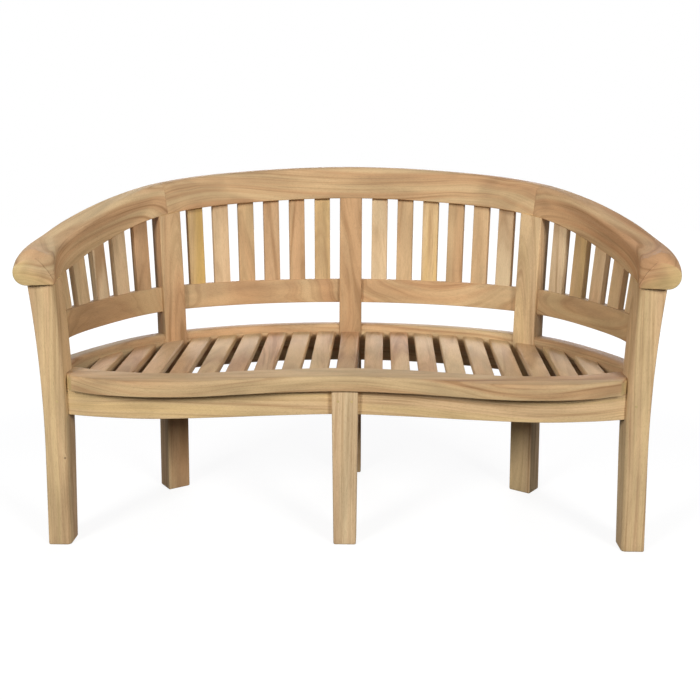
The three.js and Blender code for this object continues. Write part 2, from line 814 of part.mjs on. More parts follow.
function buildStretcher() {
  const frontRail = seatFrontRail(fitGap);
  const body = minus(stretcherBar(0, overrun), centreLeg(fitGap), rearPost(0, fitGap), frontRail);
  const tenon = minus(stretcherBar(legTenonShare, tenonLength), frontRail);
  pieces.set("seat_stretcher", body.add(tenon));
  mortise(stretcherBar(legTenonShare, tenonLength, fitGap), "front_leg_centre", "rear_post_centre");
}

// A corner post can cut the tip off a slat's tenon; the tip is waste.
const withoutWaste = (solid) => solid.decompose().reduce((a, b) => (a.volume() > b.volume() ? a : b));

function buildSeatSlats() {
  const frontRail = seatFrontRail(fitGap);
  const posts = [-cornerTurn, 0, cornerTurn].map((turn) => rearPost(turn, fitGap));
  const bowRail = bentRail(seatRail, -legTurn, legTurn, fitGap);
  const railNames = sides.flatMap(([name]) => [`seat_back_rail_${name}`, `seat_side_rail_${name}`]);
  for (let index = -seatSlatsEachSide; index <= seatSlatsEachSide; index += 1) {
    const number = String(index + seatSlatsEachSide + 1).padStart(2, "0");
    const body = minus(seatSlatBody(index), frontRail, bowRail, ...posts);
    const tenon = minus(seatSlatTenon(index), ...posts);
    pieces.set(`seat_slat_${number}`, withoutWaste(body.add(tenon)));
    mortise(seatSlatTenon(index, fitGap), "seat_front_rail", ...railNames);
  }
}

const slatTrimTurn = (2 * backSlatWidth) / bowDepth;

// One back slat, trimmed between its rail and the top rail or arm, with a tenon at each end.
function buildBackSlat(name, turn, rail, railName, aboveName) {
  const thickness = backSlatThickness * legTenonShare;
  const reach = slatTenonLength;
  const slatTenon = (grow) => backSlat(turn, rail, tenonShoulder, thickness, reach, reach, grow);
  const railBody = bentRail(rail, turn - slatTrimTurn, turn + slatTrimTurn, fitGap);
  const rough = backSlat(turn, rail, 0, backSlatThickness, overrun, overrun);
  pieces.set(name, minus(rough, railBody, ...railTrims).add(slatTenon(0)));
  mortise(slatTenon(fitGap), railName, aboveName);
}

// The slat nearest a front leg is made in one with the rail that carries it.
function joinEndSlat(turn, rail, railName, armName) {
  const thickness = backSlatThickness * legTenonShare;
  const slatTenon = (grow) => backSlat(turn, rail, tenonShoulder, thickness, 0, slatTenonLength, grow);
  const body = minus(backSlat(turn, rail, 0, backSlatThickness, overrun, overrun), ...railTrims);
  pieces.set(railName, pieces.get(railName).add(body).add(slatTenon(0)));
  mortise(slatTenon(fitGap), armName);
}

function buildBackSlats() {
  const half = postWidth / 2;
  const centreTurns = slatTurns(0, half, cornerTurn, half, centreBaySlats);
  const legHalf = legBackAt(lowerRailTop) - sideSlatsPast;
  const sideTurns = slatTurns(cornerTurn, half, legTurn, legHalf, sideBaySlats);
  let number = 0;
  sides.forEach(([name, side]) => {
    const turns = centreTurns.map((turn) => side * turn).sort((a, b) => a - b);
    turns.forEach((turn) => {
      number += 1;
      const slatName = `back_slat_${String(number).padStart(2, "0")}`;
      buildBackSlat(slatName, turn, lowerRail, `lower_back_rail_${name}`, "top_rail");
    });
    const railName = `lower_side_rail_${name}`;
    sideTurns.slice(0, -1).forEach((turn, i) => {
      buildBackSlat(`side_slat_${name}_${i + 1}`, side * turn, lowerSideRail, railName, `arm_${name}`);
    });
    joinEndSlat(side * sideTurns.at(-1), lowerSideRail, railName, `arm_${name}`);
  });
}

buildTopRailAndArms();
buildPosts();
buildFrontLegs();
buildBentRails();
buildFrontRail();
buildAprons();
buildStretcher();
buildSeatSlats();
buildBackSlats();

// Sanded teak, in the tints that the boards show
const teak = (color) => new THREE.MeshStandardMaterial({ color, roughness: 0.62, metalness: 0 });
const finishes = [
  [/^(arm|top_rail)/, 0xc29a70],
  [/^(front_leg|rear_post)/, 0xcda878],
  [/^apron/, 0xd6b98a],
  [/^seat_front_rail/, 0xc69f78],
  [/^(back_slat|side_slat)/, 0xc59d6c],
  [/./, 0xbf9a70],
];

function meshOf(name, solid) {
  const made = solid.getMesh();
  const geometry = new THREE.BufferGeometry();
  geometry.setAttribute("position", new THREE.BufferAttribute(made.vertProperties, made.numProp));
  geometry.setIndex(new THREE.BufferAttribute(made.triVerts, 1));
  const [, color] = finishes.find(([pattern]) => pattern.test(name));
  const mesh = new THREE.Mesh(geometry, teak(color));
  mesh.name = name;
  return mesh;
}

const bench = new THREE.Group();
bench.name = "teak_garden_bench";
pieces.forEach((solid, name) => bench.add(meshOf(name, solid)));

const extent = new THREE.Box3().setFromObject(bench);
bench.position.y = -(extent.min.y + extent.max.y) / 2;

export default bench;
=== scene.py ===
# %% [markdown]
# # A curved teak garden bench
# This notebook dresses the bench's plain solids as finished timber. The real bench is joinery: some sixty
# boards of sanded, unoiled teak with rounded edges, glued and pegged together. Each step below says what a
# piece is on the real bench, how it could be made in Blender, and why it is made the way it is.

import math

import bmesh
import bpy
import numpy as np
from mathutils import Matrix, Vector


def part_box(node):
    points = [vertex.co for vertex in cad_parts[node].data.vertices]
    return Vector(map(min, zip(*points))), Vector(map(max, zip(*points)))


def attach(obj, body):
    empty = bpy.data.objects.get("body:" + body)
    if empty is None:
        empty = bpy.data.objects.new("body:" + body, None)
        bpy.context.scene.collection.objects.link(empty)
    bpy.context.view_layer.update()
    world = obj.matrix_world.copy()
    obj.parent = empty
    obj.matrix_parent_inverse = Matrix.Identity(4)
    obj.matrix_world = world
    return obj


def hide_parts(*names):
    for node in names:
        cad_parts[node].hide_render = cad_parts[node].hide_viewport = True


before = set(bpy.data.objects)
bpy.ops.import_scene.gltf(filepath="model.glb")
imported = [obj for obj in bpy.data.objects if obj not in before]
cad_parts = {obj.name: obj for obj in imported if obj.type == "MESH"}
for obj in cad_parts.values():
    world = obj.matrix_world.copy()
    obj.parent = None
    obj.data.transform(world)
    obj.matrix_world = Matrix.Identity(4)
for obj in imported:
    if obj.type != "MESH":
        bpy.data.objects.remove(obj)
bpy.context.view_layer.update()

# %% [markdown]
# ## Where the camera stood
# The photograph was taken at standing height, a little over two metres in front of the bench, and then
# cropped high. A crop is the same as a lens shift, so the camera keeps a plain perspective and gets a small
# vertical shift. Depths are measured from the front face of the front legs, because that is where the tape
# measure starts.

# %% Camera
MM = 0.001
PICTURE_WIDTH, FOCAL_LENGTH, AXIS_ABOVE_MIDDLE = 700, 1000, 100  # in pixels of the photograph
LEG_FACE_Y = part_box("front_leg_left")[0].y
EYE = Vector((0.0730, LEG_FACE_Y - 2.3781, 1.0591))
YAW, PITCH, ROLL = -0.0254, 0.1287, 0.0022  # radians: to the left, downwards, clockwise
SENSOR = 36.0
LENS = SENSOR * FOCAL_LENGTH / PICTURE_WIDTH
SHIFT = -AXIS_ABOVE_MIDDLE / PICTURE_WIDTH

ahead = Vector((math.sin(YAW) * math.cos(PITCH), math.cos(YAW) * math.cos(PITCH), -math.sin(PITCH)))
level = Vector((math.cos(YAW), -math.sin(YAW), 0.0))
upward = level.cross(ahead)
right = math.cos(ROLL) * level + math.sin(ROLL) * upward
up = -math.sin(ROLL) * level + math.cos(ROLL) * upward

lens = bpy.data.cameras.new("bench_camera")
lens.sensor_width = SENSOR
lens.lens = LENS
lens.shift_y = SHIFT
camera = bpy.data.objects.new("bench_camera", lens)
camera.matrix_world = Matrix.Translation(EYE) @ Matrix((right, up, -ahead)).transposed().to_4x4()
bpy.context.scene.collection.objects.link(camera)
bpy.context.scene.camera = camera
print("camera at", [round(value, 3) for value in EYE], "lens", round(LENS, 2), "mm")

# %% [markdown]
# ## The bench's measurements
# Everything follows a few sizes. In plan the posts and slats stand on half an ellipse that opens to the
# front, and the back leans outward from the seat to the top rail. The visible boards are drawn from these
# sizes again, with finer steps and real rounded edges, so that they sit exactly where the solids are.

# %% Sizes
BOW_HALF_WIDTH, BOW_DEPTH, BOW_START = 717 * MM, 504 * MM, 70 * MM
SIDE_LEAN, BACK_LEAN, START_LEAN = 29 * MM, 40 * MM, 19 * MM
CORNER_TURN = math.radians(45.1)
SEAT_FLAT_SHARE, TOP_FLAT_SHARE = 0.028, 0.02

SEAT_HEIGHT, RAIL_UNDERSIDE, ARM_UNDERSIDE = 436 * MM, 830 * MM, 663 * MM
LOWER_RAIL_BOTTOM, LOWER_RAIL_TOP, SIDE_RAIL_FALL = 519 * MM, 588 * MM, 12 * MM
SEAT_RAIL_BOTTOM, SEAT_RAIL_TOP = 346 * MM, 456 * MM
SEAT_RAIL_THICKNESS, LOWER_RAIL_THICKNESS = 44 * MM, 36 * MM

POST_WIDTH, POST_DEPTH = 65 * MM, 58 * MM
LEG_WIDTH, LEG_TOP_WIDTH, LEG_DEPTH, LEG_TOP_DEPTH = 57 * MM, 61.5 * MM, 60 * MM, 82 * MM
LEG_FLARE_START = 230 * MM
CENTRE_LEG_WIDTHS, CENTRE_LEG_DEPTH, CENTRE_LEG_SETBACK = (57 * MM, 66 * MM), 56 * MM, 22 * MM

RAIL_THICKNESS, RAIL_HEIGHT, ARM_HEIGHT = 60 * MM, 91 * MM, 86 * MM
RAIL_ROUNDING, RAIL_EDGE = 15 * MM, 3 * MM
ARM_WIDTH, ARM_OVERHANG = 97 * MM, 15 * MM
ARM_OUTER_ROUNDING, ARM_UNDER_ROUNDING, ARM_INNER_FALL = 50 * MM, 32 * MM, 14 * MM
ARM_NOSE, ARM_FACE_HEIGHT, ARM_FACE_BEVEL_WIDTH = 30 * MM, 67 * MM, 48 * MM

FRONT_RAIL_WIDTH, FRONT_RAIL_THICKNESS, FRONT_RAIL_ROUNDING = 90 * MM, 38 * MM, 9 * MM
FRONT_RAIL_CENTRE, FRONT_RAIL_BULGE, FRONT_RAIL_CLIP = 13 * MM, 71 * MM, 16 * MM
APRON_THICKNESS, APRON_HEIGHT, APRON_CENTRE, APRON_BULGE = 28 * MM, 65 * MM, 40 * MM, 56 * MM

BACK_SLAT_WIDTH, BACK_SLAT_THICKNESS = 46 * MM, 20 * MM
SEAT_SLAT_THICKNESS, SEAT_SLATS_EACH_SIDE = 22 * MM, 9
SLAT_WIDTH_SHARES, SLAT_PITCH_SHARES = (0.0656, 0.0739), (0.0972, 0.1004)
CENTRE_BAY_SLATS, SIDE_BAY_SLATS, SIDE_SLATS_PAST = 6, 5, 16 * MM

# %% Shares along the curves, and sizes that follow
UNDERSIDE_SHARES = [
    (0, 1), (0.296, 0.91), (0.444, 0.787), (0.572, 0.6), (0.74, 0.285), (0.838, 0.11), (0.957, 0), (1, 0),
]
ARM_WIDTH_SHARES = [(0, 0), (0.25, 0.35), (0.5, 0.78), (0.75, 0.96), (0.9, 1), (1, 0.98)]
ARM_ROUND_SHARES = [(0, 0), (0.25, 0.06), (0.5, 0.28), (0.75, 0.75), (0.9, 0.96), (1, 1)]
FRONT_SWELL_SHARES = [
    (0, 0), (0.2, 0.2), (0.35, 0.52), (0.5, 0.87), (0.62, 0.96),
    (0.72, 0.92), (0.84, 0.69), (0.92, 0.36), (1, 0.06),
]
APRON_SWELL_SHARES = [(0, 0), (0.22, 0.27), (0.44, 0.7), (0.66, 1), (0.85, 0.76), (1, 0.32)]
LEAN_BEND_SHARE, FACE_BEVEL_FULLNESS_SHARE = 0.15, 0.3

TOP_HALF_WIDTH = BOW_HALF_WIDTH + SIDE_LEAN
TOP_START = BOW_START + START_LEAN
TOP_DEPTH = BOW_DEPTH + BACK_LEAN - START_LEAN
LEAN_SLOPE = BACK_LEAN / (RAIL_UNDERSIDE - SEAT_HEIGHT)
LEG_TURN = math.acos((LEG_DEPTH / 2 - BOW_START) / BOW_DEPTH)
ARM_END_TURN = math.acos((-ARM_OVERHANG - TOP_START) / TOP_DEPTH)
LEG_CENTRE_X = BOW_HALF_WIDTH * math.sin(LEG_TURN)
LEG_TOP_CENTRE_X = TOP_HALF_WIDTH * math.sin(math.acos((LEG_TOP_DEPTH / 2 - TOP_START) / TOP_DEPTH))
SIDES = (("left", -1), ("right", 1))
print("the arms end", round(math.degrees(ARM_END_TURN), 1), "degrees round the bow")

# %% [markdown]
# ## The bow
# One function gives a point of the plan: where it is, which way the bow runs there, and which way is out. A
# smooth curve through a few rows of shares shapes whatever swells or falls along it: the arm's width, the
# underside of the top rail, and the wave of the seat's front edge.

# %% A smooth curve through a few rows


def lerp(a, b, share):
    return a + (b - a) * share


def clamp(value, low=0.0, high=1.0):
    return min(max(value, low), high)


def follow(rows, share):
    """Smooth curve through rows of (share, value), read at one share."""
    last = len(rows) - 1
    s = clamp(share, rows[0][0], rows[last][0])
    i = 0
    while i < last - 1 and s > rows[i + 1][0]:
        i += 1

    def slope(k):
        low, high = max(k - 1, 0), min(k + 1, last)
        return 0.0 if k == 0 else (rows[high][1] - rows[low][1]) / (rows[high][0] - rows[low][0])

    span = rows[i + 1][0] - rows[i][0]
    t = (s - rows[i][0]) / span
    keep = (1 + 2 * t) * (1 - t) ** 2
    after = t * t * (3 - 2 * t)
    start = t * (1 - t) ** 2 * span
    end = t * t * (t - 1) * span
    return keep * rows[i][1] + after * rows[i + 1][1] + start * slope(i) + end * slope(i + 1)


print("halfway along, an arm has", round(100 * follow(ARM_WIDTH_SHARES, 0.5)), "% of its extra width")

# %% The bow as functions
NUDGE = 1e-4  # a turn small enough to read the bow's direction from
BOW_STEPS = 100


def side_share(turn):
    """0 up to the rear corner post, and 1 at the front leg."""
    return clamp((abs(turn) - CORNER_TURN) / (LEG_TURN - CORNER_TURN))


def bow_point(turn, rise):
    """Place, direction along, direction outward, and metres a radian. Rise is 0 at the seat and 1 on top."""
    half = lerp(BOW_HALF_WIDTH, TOP_HALF_WIDTH, rise)
    depth = lerp(BOW_DEPTH, TOP_DEPTH, rise)
    start = lerp(BOW_START, TOP_START, rise)

    def place(at):
        flattened = lerp(SEAT_FLAT_SHARE, TOP_FLAT_SHARE, rise) * math.sin(math.pi * side_share(at)) ** 2
        size = 1 - flattened
        return np.array([half * size * math.sin(at), LEG_FACE_Y + start + depth * size * math.cos(at), 0.0])

    along = place(turn + NUDGE) - place(turn - NUDGE)
    pace = np.linalg.norm(along) / (2 * NUDGE)
    tangent = along / np.linalg.norm(along)
    outward = np.array([-tangent[1], tangent[0], 0.0])
    return place(turn), tangent, outward, pace


def on_bow(turn, rise, out, along, z):
    place, tangent, outward, _ = bow_point(turn, rise)
    return place + outward * out + tangent * along + np.array([0.0, 0.0, z])


def walk(turn, distance, rise):
    """The turn reached after a distance along the bow."""
    for _ in range(BOW_STEPS):
        turn += distance / BOW_STEPS / bow_point(turn, rise)[3]
    return turn


def bow_length(from_turn, to_turn, rise):
    step = (to_turn - from_turn) / BOW_STEPS
    return sum(step * bow_point(from_turn + (i + 0.5) * step, rise)[3] for i in range(BOW_STEPS))


def rise_at(z):
    return (z - SEAT_HEIGHT) / (RAIL_UNDERSIDE - SEAT_HEIGHT)


def underside_at(turn):
    """Underside of the top rail and arms."""
    return lerp(ARM_UNDERSIDE, RAIL_UNDERSIDE, follow(UNDERSIDE_SHARES, abs(turn) / ARM_END_TURN))


print("top rail underside at the corner posts:", round(underside_at(CORNER_TURN), 3), "m")

# %% [markdown]
# ## Sanded teak
# Teak is a straight-grained hardwood: honey to pinkish tan when it is fresh, with darker bands where each
# year's growth ends, golden-brown streaks, and open pores that show as short dark dashes along the grain.
# The boards were machined, rounded over and sanded, and have no oil or varnish, so they are dull with a
# faint sheen. Wood is a solid pattern: the rings run right through the board, as lines on its faces and
# arcs on its ends. So every board carries four attributes: its grain coordinates, measured from the heart
# of its tree; its tone, shade and seed; the direction of its length; and how far off its knot is. One
# material reads them, and every board still looks cut from its own log.

# %% A small helper for nodes, and colours


def linear(hex_colour):
    """sRGB hex to the linear colour that shaders use."""
    values = [int(hex_colour[i : i + 2], 16) / 255 for i in (1, 3, 5)]
    return tuple(v / 12.92 if v <= 0.04045 else ((v + 0.055) / 1.055) ** 2.4 for v in values) + (1.0,)


def add(tree, kind, inputs=(), **settings):
    """Adds a node with its settings. Inputs come in order or by name; a node stands for its first output."""
    node = tree.nodes.new(kind)
    for name, value in settings.items():
        setattr(node, name, value)
    in_use = [socket for socket in node.inputs if socket.enabled]
    for socket, value in inputs.items() if isinstance(inputs, dict) else zip(in_use, inputs):
        if isinstance(socket, str):
            socket = node.inputs[socket]
        if isinstance(value, bpy.types.Node):
            value = next(output for output in value.outputs if output.enabled)
        if isinstance(value, bpy.types.NodeSocket):
            tree.links.new(value, socket)
        else:
            socket.default_value = value
    return node


print("mid grey is", round(linear("#808080")[0], 3), "in linear light")

# %% Teak: its real sizes
# Sanded, unoiled teak: to the eye a dull honey tan with darker year rings and a faint sheen along the fibres
RING_WIDTH = 6.5 * MM  # one year's growth
STRIPE = (1200 * MM, 26 * MM)  # wide stripes of pinkish heartwood: length, and width across the rings
STREAK = (420 * MM, 7 * MM)  # golden-brown streaks along the grain
FIBRE = (34 * MM, 1.1 * MM)  # a bundle of fibres; drawn twice as coarse as it is, so that it shows
PORE = (11 * MM, 0.55 * MM)  # an open pore cut along its length; a real one is 0.3 mm wide and wouldn't show
CLOUD = (240 * MM, 45 * MM)  # slow changes of brightness
LOG_TAPER_SHARE = 0.022  # how fast a log narrows, which draws pointed arches on flat-sawn faces
LOG_BEND, LOG_BEND_REACH = (900 * MM, 80 * MM), 15 * MM  # length and width of its bends, and how far they go
KNOT_REACH, KNOT_PUSH, KNOT_CORE = 18 * MM, 6 * MM, (1 * MM, 4 * MM)  # lines bend round its dark core
LOG_SHIFT, LOG_SHIFT_OUT = (31.7, 0.0, 9.1), 5.0  # in metres, times a board's seed
BOARD_ATTRIBUTES = ("grain", "board", "lengthwise", "knot")
print("a log of", round(1 / RING_WIDTH), "years to the metre")

# %% Teak: where a point lies in its log
teak = bpy.data.materials.new("sanded_teak")
teak.use_nodes = True
wood = teak.node_tree
wood.nodes.clear()

grain, board, lengthwise, knot = (
    add(wood, "ShaderNodeAttribute", attribute_name=name).outputs["Vector"] for name in BOARD_ATTRIBUTES
)
tone, shade, seed = add(wood, "ShaderNodeSeparateXYZ", [board]).outputs
pinkish = add(wood, "ShaderNodeMath", (tone, -1.0), operation="MULTIPLY", use_clamp=True)
gold = add(wood, "ShaderNodeMath", (tone, 1.0), operation="MULTIPLY", use_clamp=True)

# Each board's pattern is read from another place in the log, and stretched along the grain.
shift = add(wood, "ShaderNodeVectorMath", (LOG_SHIFT, seed), operation="SCALE")
place = add(wood, "ShaderNodeVectorMath", (grain, shift), operation="ADD")
noises = {}
for pattern, (length, width), detail, roughness in (  # detail is how many finer layers the noise has
    ("bend", LOG_BEND, 1.5, 0.5),
    ("cloud", CLOUD, 2.0, 0.5),
    ("fibre", FIBRE, 2.0, 0.6),
    ("pore", PORE, 1.0, 0.5),
):
    squeeze = (1 / length, 1 / width, 1 / width)
    stretched = add(wood, "ShaderNodeVectorMath", (place, squeeze), operation="MULTIPLY")
    noise = {"Vector": stretched, "Scale": 1.0, "Detail": detail, "Roughness": roughness}
    noises[pattern] = add(wood, "ShaderNodeTexNoise", noise).outputs

# The distance from the heart: bent a little, drawn out along the log, and pushed aside by a knot
bend = add(wood, "ShaderNodeVectorMath", (noises["bend"]["Color"], (0.5, 0.5, 0.5)), operation="SUBTRACT")
reach = (0.0, 2 * LOG_BEND_REACH, 2 * LOG_BEND_REACH)
bent = add(wood, "ShaderNodeVectorMath", (bend, reach, grain), operation="MULTIPLY_ADD")
along = add(wood, "ShaderNodeSeparateXYZ", [bent]).outputs[0]
square = add(wood, "ShaderNodeVectorMath", (bent, (0.0, 1.0, 1.0)), operation="MULTIPLY")
radius = add(wood, "ShaderNodeVectorMath", [square], operation="LENGTH")
radius = add(wood, "ShaderNodeMath", (along, LOG_TAPER_SHARE, radius), operation="MULTIPLY_ADD")
radius = add(wood, "ShaderNodeMath", (seed, LOG_SHIFT_OUT, radius), operation="MULTIPLY_ADD")
from_knot = add(wood, "ShaderNodeVectorMath", [knot], operation="LENGTH")
knot_row = (from_knot, 0.0, KNOT_REACH, KNOT_PUSH, 0.0)
pushed = add(wood, "ShaderNodeMapRange", knot_row, interpolation_type="SMOOTHSTEP")
radius = add(wood, "ShaderNodeMath", (radius, pushed), operation="ADD")
print("so far", len(wood.nodes), "nodes find a point's place")

# %% Teak: rings, stripes, streaks and pores
for pattern, (length, width), detail, roughness in (
    ("stripe", STRIPE, 2.5, 0.55),
    ("streak", STREAK, 3.0, 0.6),
):
    down = add(wood, "ShaderNodeMath", (along, 1 / length), operation="MULTIPLY")
    out = add(wood, "ShaderNodeMath", (radius, 1 / width), operation="MULTIPLY")
    in_rings = add(wood, "ShaderNodeCombineXYZ", (down, out))
    noise = {"Vector": in_rings, "Scale": 1.0, "Detail": detail, "Roughness": roughness}
    noises[pattern] = add(wood, "ShaderNodeTexNoise", noise).outputs

# A year darkens slowly and ends sharply. Years differ, and each line comes and goes along the board.
# Each row, here and below, is the part of the source's range in use, and what its two ends become.
years = add(wood, "ShaderNodeMath", (radius, 1 / RING_WIDTH), operation="MULTIPLY")
share = add(wood, "ShaderNodeMath", [years], operation="FRACT")
number = add(wood, "ShaderNodeMath", [years], operation="FLOOR")
year = add(wood, "ShaderNodeTexWhiteNoise", [number], noise_dimensions="1D").outputs["Value"]
ring = add(wood, "ShaderNodeValue")
ring.outputs[0].default_value = 1.0
for source, row in (
    (share, (0.25, 0.9, 0.0, 1.0)),
    (share, (0.92, 1.0, 1.0, 0.0)),
    (year, (0.3, 1.0, 0.15, 1.0)),
    (noises["cloud"][0], (0.3, 0.7, 1.0, 0.4)),
):
    part = add(wood, "ShaderNodeMapRange", (source, *row), interpolation_type="SMOOTHSTEP")
    ring = add(wood, "ShaderNodeMath", (ring, part), operation="MULTIPLY")

# Cut across the fibres and sanded, the wood looks paler and yellower, because fine dust fills the pores.
facing = add(wood, "ShaderNodeNewGeometry").outputs["Normal"]
facing = add(wood, "ShaderNodeVectorMath", (facing, lengthwise), operation="DOT_PRODUCT")
facing = add(wood, "ShaderNodeMath", [facing], operation="ABSOLUTE")

shares = {}
for result, source, row in (
    ("pink", noises["stripe"][0], (0.36, 0.62, 0.0, 1.0)),
    ("less gold", noises["stripe"][0], (0.35, 0.6, 1.0, 0.25)),
    ("deep streak", noises["stripe"][0], (0.35, 0.65, 0.3, 0.72)),
    ("streak", noises["streak"][0], (0.46, 0.7, 0.0, 1.0)),
    ("fibre", noises["fibre"][0], (0.3, 0.75, 0.0, 0.2)),
    ("pore", noises["pore"][0], (0.6, 0.7, 0.0, 1.0)),
    ("knot", from_knot, (*KNOT_CORE, 0.75, 0.0)),
    ("brightness", noises["cloud"][0], (0.3, 0.7, 0.86, 1.11)),
    ("end grain", facing, (0.62, 0.88, 0.0, 0.78)),
):
    shares[result] = add(wood, "ShaderNodeMapRange", (source, *row), interpolation_type="SMOOTHSTEP")
print("patterns:", ", ".join(shares))

# %% Teak: colour and finish
PALE, SAPWOOD, PINK, GOLDEN = "#d8bc91", "#e0d2b4", "#c69a71", "#cfab5e"
END_GRAIN, BAND, PORE_BROWN = "#dcc68c", "#946c45", "#62452b"
PINK_SHARE, GOLD_LESS_PINK, TONE_PINK = 0.75, 0.6, 0.45  # in stripes, off a golden board, and by its tone
RING_SHARE, PORE_SHARE = 0.24, 0.3  # how far a year's end and a pore darken
SHADE_SAPWOOD, SHADE_LIGHT = 0.6, 0.22  # a pale board has more sapwood in it, and is lighter
ROUGHNESS, FIBRE_ROUGHNESS = 0.58, 0.12  # sanded wood is dull, and its fibres scatter a little more
FIBRE_HEIGHT, PORE_DEPTH, RELIEF, RELIEF_SHARE = 0.35, 0.6, 0.25 * MM, 0.35

less_pink = add(wood, "ShaderNodeMath", (gold, -GOLD_LESS_PINK, PINK_SHARE), operation="MULTIPLY_ADD")
pink_share = add(wood, "ShaderNodeMath", (shares["pink"], less_pink), operation="MULTIPLY")
pink_share = add(wood, "ShaderNodeMath", (pinkish, TONE_PINK, pink_share), operation="MULTIPLY_ADD")
gold_share = add(wood, "ShaderNodeMath", (gold, shares["less gold"]), operation="MULTIPLY")
streak_share = add(wood, "ShaderNodeMath", (shares["streak"], shares["deep streak"]), operation="MULTIPLY")
ring_share = add(wood, "ShaderNodeMath", (ring, RING_SHARE), operation="MULTIPLY")
sap_share = add(wood, "ShaderNodeMath", (shade, SHADE_SAPWOOD), operation="MULTIPLY", use_clamp=True)
pore_share = add(wood, "ShaderNodeMath", (shares["pore"], PORE_SHARE), operation="MULTIPLY")
colour = add(wood, "ShaderNodeRGB")
colour.outputs[0].default_value = linear(PALE)
for share, name in (
    (pink_share, PINK),
    (sap_share, SAPWOOD),
    (gold_share, GOLDEN),
    (streak_share, BAND),
    (shares["end grain"], END_GRAIN),
    (ring_share, BAND),
    (shares["fibre"], BAND),
    (pore_share, PORE_BROWN),
    (shares["knot"], PORE_BROWN),
):
    colour = add(wood, "ShaderNodeMix", (share, colour, linear(name)), data_type="RGBA")
bright = add(wood, "ShaderNodeMath", (shade, SHADE_LIGHT, shares["brightness"]), operation="MULTIPLY_ADD")
colour = add(wood, "ShaderNodeVectorMath", (colour, bright), operation="SCALE")

fibres = noises["fibre"][0]
rough = add(wood, "ShaderNodeMath", (fibres, FIBRE_ROUGHNESS, ROUGHNESS), operation="MULTIPLY_ADD")
open_pores = add(wood, "ShaderNodeMath", (shares["pore"], -PORE_DEPTH), operation="MULTIPLY")
height = add(wood, "ShaderNodeMath", (fibres, FIBRE_HEIGHT, open_pores), operation="MULTIPLY_ADD")
bump = add(wood, "ShaderNodeBump", {"Strength": RELIEF_SHARE, "Distance": RELIEF, "Height": height})
finish = {"Base Color": colour, "Roughness": rough, "Normal": bump, "IOR": 1.45, "Specular IOR Level": 0.3}
surface = add(wood, "ShaderNodeBsdfPrincipled", finish)
add(wood, "ShaderNodeOutputMaterial", [surface])
print("material", teak.name, "with", len(wood.nodes), "nodes")

# %% [markdown]
# ## Marking a board with its grain
# Curved parts are sawn out of straight planks, so the grain runs straight along the chord of the board
# while the board curves away from it. That is why arches and long diagonal lines show on bent rails and
# arms. A board's mark is the direction of its length, a direction across it, and a point on the heart of
# its log. A face that lies square to the way to the heart shows few lines and wide arches; the faces beside
# it show straight, close lines. Tone runs from -1, pinkish, to 1, golden, and shade from dark to pale.

# %% Grain marks
rng = np.random.default_rng(41)
HEART_DISTANCE, HEART_ASIDE = (55 * MM, 130 * MM), 25 * MM
TONE_SPREAD, SHADE_SPREAD = 0.3, 0.35


def unit(v):
    v = np.asarray(v, float)
    return v / np.linalg.norm(v)


def chord(rings):
    """The middles of a row's first and last section."""
    return np.mean(rings[0], axis=0), np.mean(rings[-1], axis=0)


def mark_for(start, end, up_hint=(0.0, 0.0, 1.0), tone=None, shade=None, heart=None):
    """A board's mark from the two ends of its chord. heart is how far the log's heart lies from the chord,
    first towards up_hint and then aside of it. What isn't given is drawn at random."""
    start, end = np.asarray(start, float), np.asarray(end, float)
    lengthwise = unit(end - start)
    across = unit(np.cross(np.asarray(up_hint, float), lengthwise))
    square = np.cross(lengthwise, across)
    away = rng.uniform(*HEART_DISTANCE) * rng.choice([-1.0, 1.0])
    aside = rng.uniform(-HEART_ASIDE, HEART_ASIDE)
    tones = rng.uniform(-TONE_SPREAD, TONE_SPREAD), rng.uniform(-SHADE_SPREAD, SHADE_SPREAD)
    if heart is not None:
        away, aside = heart
    return {
        "lengthwise": lengthwise,
        "across": across,
        "heart": start + square * away + across * aside,
        "tone": tones[0] if tone is None else tone,
        "shade": tones[1] if shade is None else shade,
        "seed": rng.uniform(0.0, 1.0),
    }


print("hearts lie", [round(d / MM) for d in HEART_DISTANCE], "mm from their boards")

# %% Marks written on a mesh
FAR_AWAY = 1.0  # metres; the knot of a board that has none


def write_vectors(mesh, name, values):
    made = mesh.attributes.get(name) or mesh.attributes.new(name, "FLOAT_VECTOR", "POINT")
    made.data.foreach_set("vector", np.asarray(values, np.float32).ravel())


def grain_of(points, mark):
    away = np.asarray(points) - mark["heart"]
    third = np.cross(mark["lengthwise"], mark["across"])
    return np.stack([away @ mark["lengthwise"], away @ mark["across"], away @ third], axis=1)


def write_mark(mesh, mark, knot=None):
    points = np.array([v.co for v in mesh.vertices], float).reshape(-1, 3)
    write_vectors(mesh, "grain", grain_of(points, mark))
    write_vectors(mesh, "lengthwise", np.tile(mark["lengthwise"], (len(points), 1)))
    write_vectors(mesh, "board", np.tile([mark["tone"], mark["shade"], mark["seed"]], (len(points), 1)))
    off = points - np.asarray(knot, float) if knot is not None else np.full((len(points), 3), FAR_AWAY)
    write_vectors(mesh, "knot", off)


print("a board carries", ", ".join(BOARD_ATTRIBUTES))

# %% [markdown]
# ## Boards drawn through sections
# A shaped board is a row of cross-sections joined up, as a boat is planked over frames. Each section has
# four corners with their own rounding, so a sharp arris, a soft edge and the arm's great round all come
# from one function. A ready-made cube with a Bevel would be quicker, but it couldn't turn slowly from the
# rail's section into the arm's.

# %% Sections
CORNER_STEPS = 6


